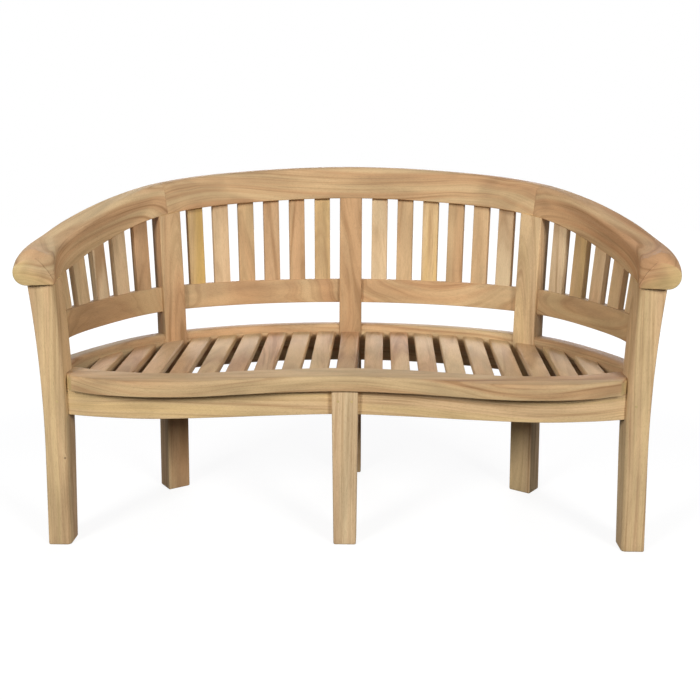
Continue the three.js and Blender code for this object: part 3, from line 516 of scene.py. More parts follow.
def rounded_section(inner, outer, bottom, outer_top, inner_top, corners, steps=CORNER_STEPS):
    """Points round a section as (out, up). A corner is (width, height, fullness): 1 is round, 0 is flat."""
    places = [
        (-inner, bottom, 1, 1),
        (outer, bottom, -1, 1),
        (outer, outer_top, -1, -1),
        (-inner, inner_top, 1, -1),
    ]
    points = []
    for i, (u, v, to_u, to_v) in enumerate(places):
        width, height, full = corners[i]
        for k in range(steps + 1):
            share = k / steps if i % 2 == 0 else 1 - k / steps
            angle = share * math.pi / 2
            reach_u = lerp(1 - share, math.cos(angle), full)
            reach_v = lerp(share, math.sin(angle), full)
            points.append((u + to_u * width * (1 - reach_u), v + to_v * height * (1 - reach_v)))
    return points


def even(radius):
    return (radius, radius, 1.0)


def block_section(u0, u1, v0, v1, radii, steps=CORNER_STEPS):
    return rounded_section(-u0, u1, v0, v1, v1, [even(radius) for radius in radii], steps)


print("a rounded section has", len(block_section(0, 1, 0, 1, [0.1] * 4)), "points")

# %% Rounded ends
END_STEPS = 3


def drawn_in(ring, inset):
    """A ring made smaller towards its middle."""
    centre = ring.mean(axis=0)
    reach = np.linalg.norm(ring - centre, axis=1).mean()
    return centre + (ring - centre) * (1 - inset / reach)


def round_over(rings, radius, at_start=True, at_end=True):
    """Rounds the edges of a loft's end faces."""
    rings = [np.asarray(ring) for ring in rings]

    def end_rings(ring, before):
        square = unit(np.cross(ring, np.roll(ring, -1, axis=0)).sum(axis=0))
        direction = square * np.sign(np.dot(square, ring.mean(axis=0) - before.mean(axis=0)))
        made = []
        for k in range(END_STEPS + 1):
            angle = k / END_STEPS * math.pi / 2
            back = radius * (1 - math.sin(angle))
            made.append(drawn_in(ring, radius * (1 - math.cos(angle))) - direction * back)
        return made

    start = end_rings(rings[0], rings[1])[::-1] if at_start else rings[:1]
    end = end_rings(rings[-1], rings[-2]) if at_end else rings[-1:]
    return start + rings[1:-1] + end


print("an end is rounded in", END_STEPS, "steps")

# %% From sections to a finished board
SMOOTH_UP_TO = math.radians(32)


def point_outward(mesh):
    """Turns every face so that it points out of the wood."""
    working = bmesh.new()
    working.from_mesh(mesh)
    bmesh.ops.recalc_face_normals(working, faces=working.faces)
    working.to_mesh(mesh)
    working.free()


def loft_mesh(name, rings):
    count = len(rings[0])
    points = np.concatenate([np.asarray(ring) for ring in rings])
    faces = []
    for r in range(len(rings) - 1):
        for i in range(count):
            a, b = r * count + i, r * count + (i + 1) % count
            faces.append((a, b, b + count, a + count))
    faces.append(tuple(range(count))[::-1])
    faces.append(tuple(range((len(rings) - 1) * count, len(rings) * count)))
    mesh = bpy.data.meshes.new(name)
    mesh.from_pydata(points.tolist(), [], faces)
    point_outward(mesh)
    return mesh


def finish_piece(mesh, name, nodes):
    """Makes the object, gives it its material, shades it and ties it to the frame."""
    mesh.materials.clear()
    mesh.materials.append(teak)
    mesh.polygons.foreach_set("use_smooth", [True] * len(mesh.polygons))
    mesh.set_sharp_from_angle(angle=SMOOTH_UP_TO)
    piece = bpy.data.objects.new(name, mesh)
    bpy.context.scene.collection.objects.link(piece)
    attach(piece, "root")
    if nodes:
        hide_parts(*nodes)
    print(f"{name}: {len(mesh.polygons)} faces, stands for {len(nodes)} nodes")


def shaped_board(name, rings, mark, node, knot=None):
    mesh = loft_mesh(name, rings)
    write_mark(mesh, mark, knot)
    finish_piece(mesh, name, [node])


print("edges stay soft up to", round(math.degrees(SMOOTH_UP_TO)), "degrees")

# %% [markdown]
# ## The top rail
# The top rail is one heavy board between the rear corner posts, bowed in plan, leaning back with the slats
# and a little lower at its ends. Its upper edges are well rounded, for the hands and the neck. It could be
# swept along a curve, but its height changes on the way, so its sections are drawn one by one.

# %% Top rail
JOINT_ROUNDING = 1.2 * MM  # the tiny arris that shows a joint as a fine line
JOINT_HALF_GAP = 0.1 * MM
JOINT_SLANT, JOINT_SLANT_REACH = math.radians(1.9), math.radians(12)
JOINT_SLANT_FOOT_SHARE = 0.25  # where the skew is nil; below it copysign turns the skew outward as well
RAIL_SECTION_COUNT = 84
RAIL_LOOK = {"tone": -0.2, "shade": -0.1, "heart": (-120 * MM, 60 * MM)}


def rail_height_at(turn):
    return lerp(RAIL_HEIGHT, ARM_HEIGHT, min(abs(turn) / CORNER_TURN, 1) ** 2)


def rail_ring(turn, section, slope):
    """The joint between rail and arm slants outward to the top, so sections near it are skewed. It lies about
    5 mm outside the post's middle at its foot and 15 mm at its top, and is straight in between."""
    skew = JOINT_SLANT * max(1 - abs(abs(turn) - CORNER_TURN) / JOINT_SLANT_REACH, 0.0)
    ring = []
    for u, v in section:
        at = turn + math.copysign(skew * (v / RAIL_HEIGHT - JOINT_SLANT_FOOT_SHARE), turn)
        ring.append(on_bow(at, 1, u + slope * v, 0, underside_at(turn) + v))
    return ring


def plain_rail_section(height):
    corners = [even(RAIL_EDGE), even(RAIL_EDGE), even(RAIL_ROUNDING), even(RAIL_ROUNDING)]
    half = RAIL_THICKNESS / 2
    return rounded_section(half, half, 0.0, height, height, corners)


joint_half_turn = JOINT_HALF_GAP / bow_point(CORNER_TURN, 1)[3]
rail_end = CORNER_TURN - joint_half_turn
rings = []
for i in range(RAIL_SECTION_COUNT + 1):
    turn = lerp(-rail_end, rail_end, i / RAIL_SECTION_COUNT)
    rings.append(rail_ring(turn, plain_rail_section(rail_height_at(turn)), LEAN_SLOPE))
rail_mark = mark_for(*chord(rings), **RAIL_LOOK)
shaped_board("top_rail_board", round_over(rings, JOINT_ROUNDING), rail_mark, "top_rail")

# %% [markdown]
# ## The arms
# The arm is the showpiece. It leaves the corner post with the rail's own section, falls in an S, and widens
# outward into a thick round roll, with a softly bevelled face at its front end where the growth rings show
# as arcs. Each section is mixed between the rail's and the roll's. A sculpted or subdivided block would
# lose the crisp line between the inner face and the roll, which catches the light.

# %% An arm's sections
ARM_SECTION_COUNT, NOSE_SECTION_COUNT, ARM_CORNER_STEPS = 72, 14, 10
ARM_FACE_ROUNDING = 3 * MM
NOSE_POWER = 1.3  # the bevel of the face starts slowly and then deepens


def mix_corner(a, b, share):
    return tuple(lerp(x, y, share) for x, y in zip(a, b))


def arm_section(share, nose):
    wide = follow(ARM_WIDTH_SHARES, share)
    roll = follow(ARM_ROUND_SHARES, share)
    ease = nose**NOSE_POWER
    half = RAIL_THICKNESS / 2
    outer = half + (ARM_WIDTH - RAIL_THICKNESS) * wide
    face_outer = (ARM_OUTER_ROUNDING, ARM_FACE_HEIGHT - ARM_UNDER_ROUNDING - RAIL_EDGE, 1.0)
    bevel_width = min(ARM_FACE_BEVEL_WIDTH, half + outer - ARM_OUTER_ROUNDING - RAIL_EDGE)
    face_bevel = (bevel_width, ARM_FACE_HEIGHT - 2 * RAIL_EDGE, FACE_BEVEL_FULLNESS_SHARE)
    outer_top = mix_corner(even(RAIL_ROUNDING), even(ARM_OUTER_ROUNDING), roll)
    corners = [
        even(RAIL_EDGE),
        mix_corner(even(RAIL_EDGE), even(ARM_UNDER_ROUNDING), roll),
        mix_corner(outer_top, face_outer, ease),
        mix_corner(even(RAIL_ROUNDING), face_bevel, ease),
    ]
    outer_height = lerp(ARM_HEIGHT, ARM_FACE_HEIGHT, ease)
    inner_height = lerp(ARM_HEIGHT - ARM_INNER_FALL * roll, ARM_FACE_HEIGHT, ease)
    return rounded_section(half, outer, 0.0, outer_height, inner_height, corners, ARM_CORNER_STEPS)


print("the arm widens to", round(ARM_WIDTH / MM), "mm")

# %% Arms
ARM_LOOKS = {"left": {"tone": -0.1, "shade": 0.1}, "right": {"tone": -0.6, "shade": -0.3}}
ARM_HEART = (-95 * MM, 60 * MM)


def arm_rings(side):
    start = CORNER_TURN + joint_half_turn
    pace = bow_point(ARM_END_TURN, 1)[3]
    nose_start, face_start = ARM_END_TURN - ARM_NOSE / pace, ARM_END_TURN - ARM_FACE_ROUNDING / pace
    stations = [(lerp(start, nose_start, i / ARM_SECTION_COUNT), 0.0) for i in range(ARM_SECTION_COUNT)]
    for i in range(NOSE_SECTION_COUNT):
        nose = i / NOSE_SECTION_COUNT
        stations.append((lerp(nose_start, face_start, nose), nose))
    stations.append((ARM_END_TURN, 1.0))
    made = []
    for turn, nose in stations:
        share = (turn - CORNER_TURN) / (ARM_END_TURN - CORNER_TURN)
        made.append(rail_ring(side * turn, arm_section(share, nose), LEAN_SLOPE * (1 - share)))
    return made


for name, side in SIDES:
    rings = arm_rings(side)
    arm_mark = mark_for(*chord(rings), heart=(ARM_HEART[0], side * ARM_HEART[1]), **ARM_LOOKS[name])
    rounded = round_over(round_over(rings, JOINT_ROUNDING, True, False), ARM_FACE_ROUNDING, False, True)
    shaped_board(f"arm_{name}_board", rounded, arm_mark, f"arm_{name}")

# %% [markdown]
# ## Posts and legs
# The rear posts stand on the bow and turn with it; they are upright to the seat and lean back above it. The
# front legs are sawn to a curve that spreads outward to meet the arm, and they grow deeper on the way up.
# Long edges are eased with a small round so that they don't splinter, and the feet are rounded so that they
# don't chip. Each is a stack of level sections.

# %% Rear posts
POST_EASING, FOOT_ROUNDING = 3.5 * MM, 4 * MM
UNDER_THE_RAIL = 1.5 * MM  # how far a post runs up into what it carries
POST_SECTION_COUNT, POST_BENDS_FROM_SHARE = 24, 0.4
FOOT_SHARE = 0.03  # the height of the second section, just above the foot's rounding
POSTS = (  # name, turn and shade
    ("left", -CORNER_TURN, 0.05),
    ("centre", 0.0, -0.1),
    ("right", CORNER_TURN, 0.45),
)


def height_shares(bends_from, count):
    """Two sections at the foot, and an even row from where the board starts to bend."""
    return [0.0, FOOT_SHARE] + [lerp(bends_from, 1.0, i / count) for i in range(count + 1)]


def lean_share(z):
    u = max(rise_at(z), 0.0)
    bend = LEAN_BEND_SHARE
    return (math.hypot(u, bend) - bend) / (math.hypot(1, bend) - bend)


def post_rings(turn):
    foot, tangent, outward, pace = bow_point(turn, 0)
    head = bow_point(turn, 1)[0]
    half_width, half_depth = POST_WIDTH / 2, POST_DEPTH / 2
    section = block_section(-half_width, half_width, -half_depth, half_depth, [POST_EASING] * 4)
    tops = [underside_at(turn + along / pace) + UNDER_THE_RAIL for along, _ in section]
    made = []
    for share in height_shares(POST_BENDS_FROM_SHARE, POST_SECTION_COUNT):
        ring = []
        for (along, out), top in zip(section, tops):
            z = top * share
            lean = (head - foot) * lean_share(z)
            ring.append(foot + tangent * along + outward * out + lean + np.array([0.0, 0.0, z]))
        made.append(ring)
    return made


for name, turn, shade in POSTS:
    rings = round_over(post_rings(turn), FOOT_ROUNDING, True, False)
    post_mark = mark_for(*chord(rings), up_hint=bow_point(turn, 0)[2], shade=shade)
    shaped_board(f"rear_post_{name}_board", rings, post_mark, f"rear_post_{name}")

# %% Front legs
LEG_EASING = 4 * MM
LEG_INNER_BEVEL, LEG_BEVEL_FULLNESS_SHARE = 8 * MM, 0.5  # the arm's bevelled line runs on down the leg
LEG_SECTION_COUNT, LEG_BENDS_FROM_SHARE = 30, 0.34
FRONT = (0.0, 1.0, 0.0)  # square to the front faces
LEG_LOOK, LEG_HEART = {"up_hint": FRONT, "tone": 0.2, "shade": 0.3}, (15 * MM, -95 * MM)
LEFT_LEG_KNOT = (-0.694, LEG_FACE_Y, 0.226)


def leg_half_at(z):
    flare = min((max(z - LEG_FLARE_START, 0.0) / (ARM_UNDERSIDE - LEG_FLARE_START)) ** 2, 1.0)
    return lerp(LEG_WIDTH, LEG_TOP_WIDTH, flare) / 2, lerp(LEG_CENTRE_X, LEG_TOP_CENTRE_X, flare)


def under_arm_at(y):
    return underside_at(math.acos(clamp((y - TOP_START) / TOP_DEPTH, -1.0, 1.0)))


def leg_rings(side):
    bevel = (LEG_INNER_BEVEL, LEG_INNER_BEVEL, LEG_BEVEL_FULLNESS_SHARE)
    corners = [bevel, even(LEG_EASING), even(LEG_EASING), even(LEG_EASING)]  # from the inner front edge round
    made = []
    for share in height_shares(LEG_BENDS_FROM_SHARE, LEG_SECTION_COUNT):
        half, centre = leg_half_at(ARM_UNDERSIDE * share)
        depth = lerp(LEG_DEPTH, LEG_TOP_DEPTH, share)
        ring = []
        for u, y in rounded_section(half, half, 0.0, depth, depth, corners):
            z = share * (under_arm_at(y) + UNDER_THE_RAIL)
            ring.append(np.array([side * (centre + u), LEG_FACE_Y + y, z]))
        made.append(ring)
    return made


for name, side in SIDES:
    rings = round_over(leg_rings(side), FOOT_ROUNDING, True, False)
    leg_mark = mark_for(*chord(rings), heart=(LEG_HEART[0], side * LEG_HEART[1]), **LEG_LOOK)
    leg_knot = LEFT_LEG_KNOT if name == "left" else None
    shaped_board(f"front_leg_{name}_board", rings, leg_mark, f"front_leg_{name}", leg_knot)

# %% Middle front leg
CENTRE_LEG_LOOK = {"up_hint": FRONT, "tone": 0.0, "shade": 0.45, "heart": (10 * MM, 80 * MM)}
apron_top = SEAT_HEIGHT - FRONT_RAIL_THICKNESS
centre_leg_back = CENTRE_LEG_SETBACK + CENTRE_LEG_DEPTH
rings = []
for z in (0.0, 20 * MM, 200 * MM, apron_top + UNDER_THE_RAIL):
    half = lerp(*CENTRE_LEG_WIDTHS, z / apron_top) / 2
    section = block_section(-half, half, CENTRE_LEG_SETBACK, centre_leg_back, [LEG_EASING] * 4)
    rings.append([np.array([x, LEG_FACE_Y + y, z]) for x, y in section])
rings = round_over(rings, FOOT_ROUNDING, True, False)
centre_mark = mark_for(*chord(rings), **CENTRE_LEG_LOOK)
shaped_board("front_leg_centre_board", rings, centre_mark, "front_leg_centre")

# %% [markdown]
# ## The waved front of the seat
# The front board of the seat swells forward in front of each sitter and draws back in the middle, with a
# rounded front edge. Under it, set back a little, two aprons follow the same wave. Both are lofts across
# the width of the bench. A curve with a bevel profile would also do, but the swell differs between the two.

# %% Seat front board
FRONT_SECTION_COUNT = 96
FRONT_EASING = 2.5 * MM
INTO_NEIGHBOUR = 10 * MM  # how far a board runs on inside the one that carries it
FRONT_LOOK = {"tone": 0.05, "shade": -0.3, "heart": (-190 * MM, 30 * MM)}


def front_edge_at(x):
    return FRONT_RAIL_CENTRE - FRONT_RAIL_BULGE * follow(FRONT_SWELL_SHARES, abs(x) / LEG_CENTRE_X)


leg_inner_x = LEG_CENTRE_X - LEG_WIDTH / 2
front_end = leg_inner_x + INTO_NEIGHBOUR
clip_start = leg_inner_x - FRONT_RAIL_CLIP
stations = [lerp(-clip_start, clip_start, i / FRONT_SECTION_COUNT) for i in range(FRONT_SECTION_COUNT + 1)]
rings = []
for x in [-front_end, -leg_inner_x, *stations, leg_inner_x, front_end]:
    clip = max(abs(x) - clip_start, 0.0)
    front, back = front_edge_at(x) + clip, front_edge_at(x) + FRONT_RAIL_WIDTH
    radii = [FRONT_EASING, FRONT_EASING, FRONT_EASING, FRONT_RAIL_ROUNDING]
    section = block_section(front, back, SEAT_HEIGHT - FRONT_RAIL_THICKNESS, SEAT_HEIGHT, radii)
    rings.append([np.array([x, LEG_FACE_Y + y, z]) for y, z in section])
front_mark = mark_for(rings[0][0], rings[-1][0], **FRONT_LOOK)
shaped_board("seat_front_board", rings, front_mark, "seat_front_rail")

# %% Aprons
APRON_SECTION_COUNT, APRON_CORNER_STEPS = FRONT_SECTION_COUNT // 2, 3
APRON_EASING = 2 * MM
APRON_LOOK = {"up_hint": FRONT, "tone": 0.35, "shade": 0.4, "heart": (25 * MM, 130 * MM)}


def apron_face_at(x):
    return APRON_CENTRE - APRON_BULGE * follow(APRON_SWELL_SHARES, abs(x) / LEG_CENTRE_X)


for name, side in SIDES:
    rings = []
    bottom, top = apron_top - APRON_HEIGHT, apron_top + UNDER_THE_RAIL
    for i in range(APRON_SECTION_COUNT + 1):
        x = lerp(CENTRE_LEG_WIDTHS[1] / 2 - INTO_NEIGHBOUR, front_end, i / APRON_SECTION_COUNT)
        front, back = apron_face_at(x), apron_face_at(x) + APRON_THICKNESS
        section = block_section(front, back, bottom, top, [APRON_EASING] * 4, APRON_CORNER_STEPS)
        rings.append([np.array([side * x, LEG_FACE_Y + y, z]) for y, z in section])
    apron_mark = mark_for(rings[0][0], rings[-1][0], **APRON_LOOK)
    shaped_board(f"apron_{name}_board", rings, apron_mark, f"apron_{name}")

# %% [markdown]
# ## Slats and bent rails, with Geometry Nodes
# The rest of the bench repeats: 19 seat slats, 22 back slats and 8 rails, all plain rectangular sticks with
# eased edges that follow a line. One node tree makes them all. Its input is a set of guide lines; each
# point of a line knows the direction of the stick's face and how wide the stick is there. The tree sweeps a
# rounded rectangle along every line, lets it widen with the line, and writes the grain marks. Modelling
# each slat by hand would take far longer, and an array couldn't fan or follow the bow.

# %% A new tree with its inputs
GUIDE_VECTORS = ("face", "heart", "lengthwise", "across", "tones", "knot")
GUIDE_ATTRIBUTES = {name: "FLOAT_VECTOR" for name in GUIDE_VECTORS}
GUIDE_ATTRIBUTES |= {"half_width": "FLOAT", "number": "INT"}


def new_tree(name, takes, sizes, counts, gives):
    """An empty tree with its sockets: geometry in and out, sizes, counts and the material."""
    tree = bpy.data.node_groups.new(name, "GeometryNodeTree")
    sockets = tree.interface
    sockets.new_socket(takes, in_out="INPUT", socket_type="NodeSocketGeometry")
    for kind, values in (("NodeSocketFloat", sizes), ("NodeSocketInt", counts)):
        for label, value in values.items():
            sockets.new_socket(label, in_out="INPUT", socket_type=kind).default_value = value
    sockets.new_socket("Material", in_out="INPUT", socket_type="NodeSocketMaterial")
    sockets.new_socket(gives, in_out="OUTPUT", socket_type="NodeSocketGeometry")
    return tree


print("a guide line carries", ", ".join(GUIDE_ATTRIBUTES))

# %% The stick tree


def stick_tree():
    sizes = {"Thickness": 20 * MM, "Width": 46 * MM, "Edge Rounding": 3 * MM}
    tree = new_tree("sticks_along_lines", "Lines", sizes, {"Rounding Steps": 4, "Seed": 7}, "Sticks")
    given = add(tree, "NodeGroupInput").outputs
    on_line = {  # the knot isn't read here: it stays on the points through the sweep
        name: add(tree, "GeometryNodeInputNamedAttribute", {"Name": name}, data_type=kind)
        for name, kind in GUIDE_ATTRIBUTES.items()
        if name != "knot"
    }
    lines = add(tree, "GeometryNodeMeshToCurve", [given["Lines"]])
    turned = add(tree, "GeometryNodeSetCurveNormal", {"Curve": lines, "Normal": on_line["face"]}, mode="FREE")

    # The section: across the thickness is its x, across the width its y.
    section_size = {"Width": given["Thickness"], "Height": given["Width"]}
    section = add(tree, "GeometryNodeCurvePrimitiveQuadrilateral", section_size)
    fillet = {"Curve": section, "Radius": given["Edge Rounding"], "Count": given["Rounding Steps"]}
    eased = add(tree, "GeometryNodeFilletCurve", fillet | {"Limit Radius": True}, mode="POLY")

    # Noted before the sweep: a point's place in the section, and the line's sideways direction
    tangent, normal = add(tree, "GeometryNodeInputTangent"), add(tree, "GeometryNodeInputNormal")
    sideways = add(tree, "ShaderNodeVectorMath", (tangent, normal), operation="CROSS_PRODUCT")
    noted = []
    for geometry, field in ((eased, add(tree, "GeometryNodeInputPosition")), (turned, sideways)):
        capture = add(tree, "GeometryNodeCaptureAttribute", [geometry])
        capture.capture_items.new("VECTOR", "noted")
        tree.links.new(field.outputs[0], capture.inputs["noted"])
        noted.append(capture.outputs)
    sweep = {"Curve": noted[1][0], "Profile Curve": noted[0][0], "Fill Caps": True}
    swept = add(tree, "GeometryNodeCurveToMesh", sweep)

    # Widen: each side moves out by what the line's own width is over the section's.
    y = add(tree, "ShaderNodeSeparateXYZ", [noted[0]["noted"]]).outputs[1]
    which_side = add(tree, "ShaderNodeMath", [y], operation="SIGN")
    widths = (given["Width"], -0.5, on_line["half_width"])
    more = add(tree, "ShaderNodeMath", widths, operation="MULTIPLY_ADD")
    more = add(tree, "ShaderNodeMath", (more, which_side), operation="MULTIPLY")
    push = add(tree, "ShaderNodeVectorMath", (noted[1]["noted"], more), operation="SCALE")
    made = add(tree, "GeometryNodeSetPosition", {"Geometry": swept, "Offset": push})

    # Grain coordinates, and the board's tone, shade and place in its log
    position = add(tree, "GeometryNodeInputPosition")
    away = add(tree, "ShaderNodeVectorMath", (position, on_line["heart"]), operation="SUBTRACT")
    axes = [on_line["lengthwise"], on_line["across"]]
    axes.append(add(tree, "ShaderNodeVectorMath", axes, operation="CROSS_PRODUCT"))
    parts = [add(tree, "ShaderNodeVectorMath", (away, axis), operation="DOT_PRODUCT") for axis in axes]
    grain = add(tree, "ShaderNodeCombineXYZ", parts)
    draw = {"ID": on_line["number"], "Seed": given["Seed"]}
    chance = add(tree, "FunctionNodeRandomValue", draw, data_type="FLOAT")
    tones = add(tree, "ShaderNodeSeparateXYZ", [on_line["tones"]]).outputs
    board = add(tree, "ShaderNodeCombineXYZ", (tones[0], tones[1], chance))
    for name, value in (("grain", grain), ("board", board)):
        stored = {"Geometry": made, "Name": name, "Value": value}
        made = add(tree, "GeometryNodeStoreNamedAttribute", stored, data_type="FLOAT_VECTOR", domain="POINT")
    real = add(tree, "GeometryNodeRealizeInstances", [made])
    done = add(tree, "GeometryNodeSetMaterial", {"Geometry": real, "Material": given["Material"]})
    add(tree, "NodeGroupOutput", [done])
    return tree


sticks = stick_tree()
print("stick tree:", len(sticks.nodes), "nodes")

# %% Guide lines


def guide_mesh(name, lines):
    """Lines are dicts with points, face directions, half widths and a mark."""
    points, edges = [], []
    values = {key: [] for key in GUIDE_ATTRIBUTES}
    for number, line in enumerate(lines):
        first = len(points)
        mark = line["mark"]
        points += [tuple(p) for p in line["points"]]
        edges += [(first + i, first + i + 1) for i in range(len(line["points"]) - 1)]
        for face, half_width in zip(line["faces"], line["half_widths"]):
            values["face"].append(face)
            values["half_width"].append(half_width)
            values["number"].append(number)
            values["tones"].append((mark["tone"], mark["shade"], 0.0))
            values["knot"].append((FAR_AWAY, FAR_AWAY, FAR_AWAY))
            for key in ("heart", "lengthwise", "across"):
                values[key].append(mark[key])
    mesh = bpy.data.meshes.new(name + "_lines")
    mesh.from_pydata(points, edges, [])
    for key, kind in GUIDE_ATTRIBUTES.items():
        if kind == "FLOAT_VECTOR":
            write_vectors(mesh, key, values[key])
        else:
            mesh.attributes.new(key, kind, "POINT").data.foreach_set("value", values[key])
    return mesh


print("guide lines are plain edges, which the tree turns into curves")

# %% A tree's result as a plain mesh


def evaluate(name, guide, tree, inputs):
    """Runs a tree on a guide mesh, keeps the result, and takes the guide and its modifier away."""
    carrier = bpy.data.objects.new(name + "_guide", guide)
    bpy.context.scene.collection.objects.link(carrier)
    modifier = carrier.modifiers.new(name, "NODES")
    modifier.node_group = tree
    sockets = {item.name: item.identifier for item in tree.interface.items_tree if item.in_out == "INPUT"}
    for socket, value in inputs.items():
        modifier[sockets[socket]] = value
    mesh = bpy.data.meshes.new_from_object(carrier.evaluated_get(bpy.context.evaluated_depsgraph_get()))
    carrier.modifiers.remove(modifier)
    bpy.data.objects.remove(carrier)
    helpers = (set(GUIDE_ATTRIBUTES) - set(BOARD_ATTRIBUTES)) & set(mesh.attributes.keys())
    for helper in sorted(helpers):
        mesh.attributes.remove(mesh.attributes[helper])
    point_outward(mesh)
    mesh.name = name
    return mesh


def make_sticks(name, lines, nodes, size, seed):
    """size is the thickness, the width and the rounding of the edges."""
    inputs = dict(zip(("Thickness", "Width", "Edge Rounding"), size)) | {"Seed": seed, "Material": teak}
    finish_piece(evaluate(name, guide_mesh(name, lines), sticks, inputs), name, nodes)


print("a finished stick keeps", ", ".join(BOARD_ATTRIBUTES))

# %% Rails on the bow
SEAT_RAIL_EASING, LOWER_RAIL_EASING = 11 * MM, 3 * MM
INTO_POST, INTO_LEG_TURN = 20 * MM, 0.02
RAIL_LINE_COUNT = 40
LOWER_RAIL_HEART = (30 * MM, 120 * MM)  # well before or behind the face, which then shows few, soft lines
# The side seat rails' shade of -0.6 is painted shade: their colour is darkened for the shade that falls on
# their inner faces under the seat. The back rails' values are wood tone.
SEAT_RAIL_LOOKS_AND_PAINTED_SHADE = {"back": {"tone": 0.0, "shade": -0.1}, "side": {"tone": 0.0, "shade": -0.6}}
LOWER_RAIL_LOOKS = {
    "back": {"tone": -0.25, "shade": 0.0, "heart": LOWER_RAIL_HEART},
    "side": {"tone": 0.1, "shade": -0.5, "heart": LOWER_RAIL_HEART},
}


def rail_line(bottom, top, leans, fall, turns, look):
    middle = (bottom + top) / 2
    rise, slope = (rise_at(middle), LEAN_SLOPE) if leans else (0.0, 0.0)
    points, faces = [], []
    for i in range(RAIL_LINE_COUNT + 1):
        turn = lerp(*turns, i / RAIL_LINE_COUNT)
        place, _, outward, _ = bow_point(turn, rise)
        points.append(place + np.array([0.0, 0.0, middle - fall * side_share(turn)]))
        faces.append(unit(outward - np.array([0.0, 0.0, slope])))
    mark = mark_for(points[0], points[-1], **look)
    return {"points": points, "faces": faces, "half_widths": [(top - bottom) / 2] * len(points), "mark": mark}


def bays(side):
    """The two bays of one side, as turns that start and end inside the uprights."""
    into = INTO_POST / BOW_DEPTH
    half_post = POST_WIDTH / 2 / BOW_DEPTH
    back = (side * (half_post - into), side * (CORNER_TURN - half_post + into))
    flank = (side * (CORNER_TURN + half_post - into), side * (LEG_TURN - INTO_LEG_TURN))
    return {"back": back, "side": flank}


seat_rails, lower_rails, seat_names, lower_names = [], [], [], []
for name, side in SIDES:
    for bay, turns in bays(side).items():
        seat_rails.append(rail_line(SEAT_RAIL_BOTTOM, SEAT_RAIL_TOP, False, 0.0, turns, SEAT_RAIL_LOOKS_AND_PAINTED_SHADE[bay]))
        fall, look = SIDE_RAIL_FALL if bay == "side" else 0.0, LOWER_RAIL_LOOKS[bay]
        lower_rails.append(rail_line(LOWER_RAIL_BOTTOM, LOWER_RAIL_TOP, True, fall, turns, look))
        seat_names.append(f"seat_{bay}_rail_{name}")
        lower_names.append(f"lower_{bay}_rail_{name}")
seat_rail_size = (SEAT_RAIL_THICKNESS, SEAT_RAIL_TOP - SEAT_RAIL_BOTTOM, SEAT_RAIL_EASING)
lower_rail_size = (LOWER_RAIL_THICKNESS, LOWER_RAIL_TOP - LOWER_RAIL_BOTTOM, LOWER_RAIL_EASING)
make_sticks("seat_rails", seat_rails, seat_names, seat_rail_size, seed=3)
make_sticks("lower_rails", lower_rails, lower_names, lower_rail_size, seed=5)

# %% Where the back slats stand
SLAT_EASING = 2.5 * MM
SLAT_INTO_RAIL = 8 * MM
LOWER_RAIL_MIDDLE = (LOWER_RAIL_BOTTOM + LOWER_RAIL_TOP) / 2
half_post = POST_WIDTH / 2


def slat_turns(from_turn, from_half, to_turn, to_half, count):
    """Even spaces between the slats and their uprights, measured along the lower rail."""
    rise = rise_at(LOWER_RAIL_MIDDLE)
    open_length = bow_length(from_turn, to_turn, rise) - from_half - to_half
    space = (open_length - count * BACK_SLAT_WIDTH) / (count + 1)
    first, pitch = from_half + space + BACK_SLAT_WIDTH / 2, space + BACK_SLAT_WIDTH
    return [walk(from_turn, first + i * pitch, rise) for i in range(count)]


def slat_line(turn, fall, tone, shade):
    foot_z = LOWER_RAIL_MIDDLE - fall * side_share(turn)
    head_z = underside_at(turn)
    foot, _, outward, _ = bow_point(turn, rise_at(LOWER_RAIL_MIDDLE))
    head = bow_point(turn, 1)[0]
    foot, head = foot + np.array([0.0, 0.0, foot_z]), head + np.array([0.0, 0.0, head_z])
    low_z = LOWER_RAIL_TOP - fall * side_share(turn) - SLAT_INTO_RAIL
    high_z = head_z + SLAT_INTO_RAIL
    ends = [foot + (head - foot) * ((z - foot_z) / (head_z - foot_z)) for z in (low_z, high_z)]
    face = unit(outward - unit(head - foot) * np.dot(outward, unit(head - foot)))
    mark = mark_for(*ends, up_hint=outward, tone=tone, shade=shade)
    return {"points": ends, "faces": [face, face], "half_widths": [BACK_SLAT_WIDTH / 2] * 2, "mark": mark}


centre_turns = slat_turns(0.0, half_post, CORNER_TURN, half_post, CENTRE_BAY_SLATS)
leg_back = lerp(LEG_DEPTH, LEG_TOP_DEPTH, LOWER_RAIL_TOP / ARM_UNDERSIDE) - LEG_DEPTH / 2 - SIDE_SLATS_PAST
side_turns = slat_turns(CORNER_TURN, half_post, LEG_TURN, leg_back, SIDE_BAY_SLATS)
print("side slats at", [round(math.degrees(turn), 1) for turn in side_turns], "degrees")

# %% Back slats
# Tone and shade of the slats, from left to right, and of the side slats from the corner post to the leg
CENTRE_SLAT_TONES = [
    (0.8, 0.2), (-0.1, 0.45), (0.1, -0.1), (-0.5, 0.2), (-0.1, 0.1), (0.4, 0.2),
    (-0.3, 0.6), (-0.1, 0.1), (0.7, 0.5), (-0.5, -0.35), (-0.2, 0.1), (0.0, 0.7),
]
SIDE_SLAT_TONES = {
    "left": [(-0.3, 0.2), (-0.1, 0.6), (0.1, 1.0), (-0.1, 0.3), (0.0, 0.0)],
    "right": [(-0.2, 0.8), (0.6, 0.2), (0.0, 0.4), (-0.3, -0.1), (0.1, 0.3)],
}

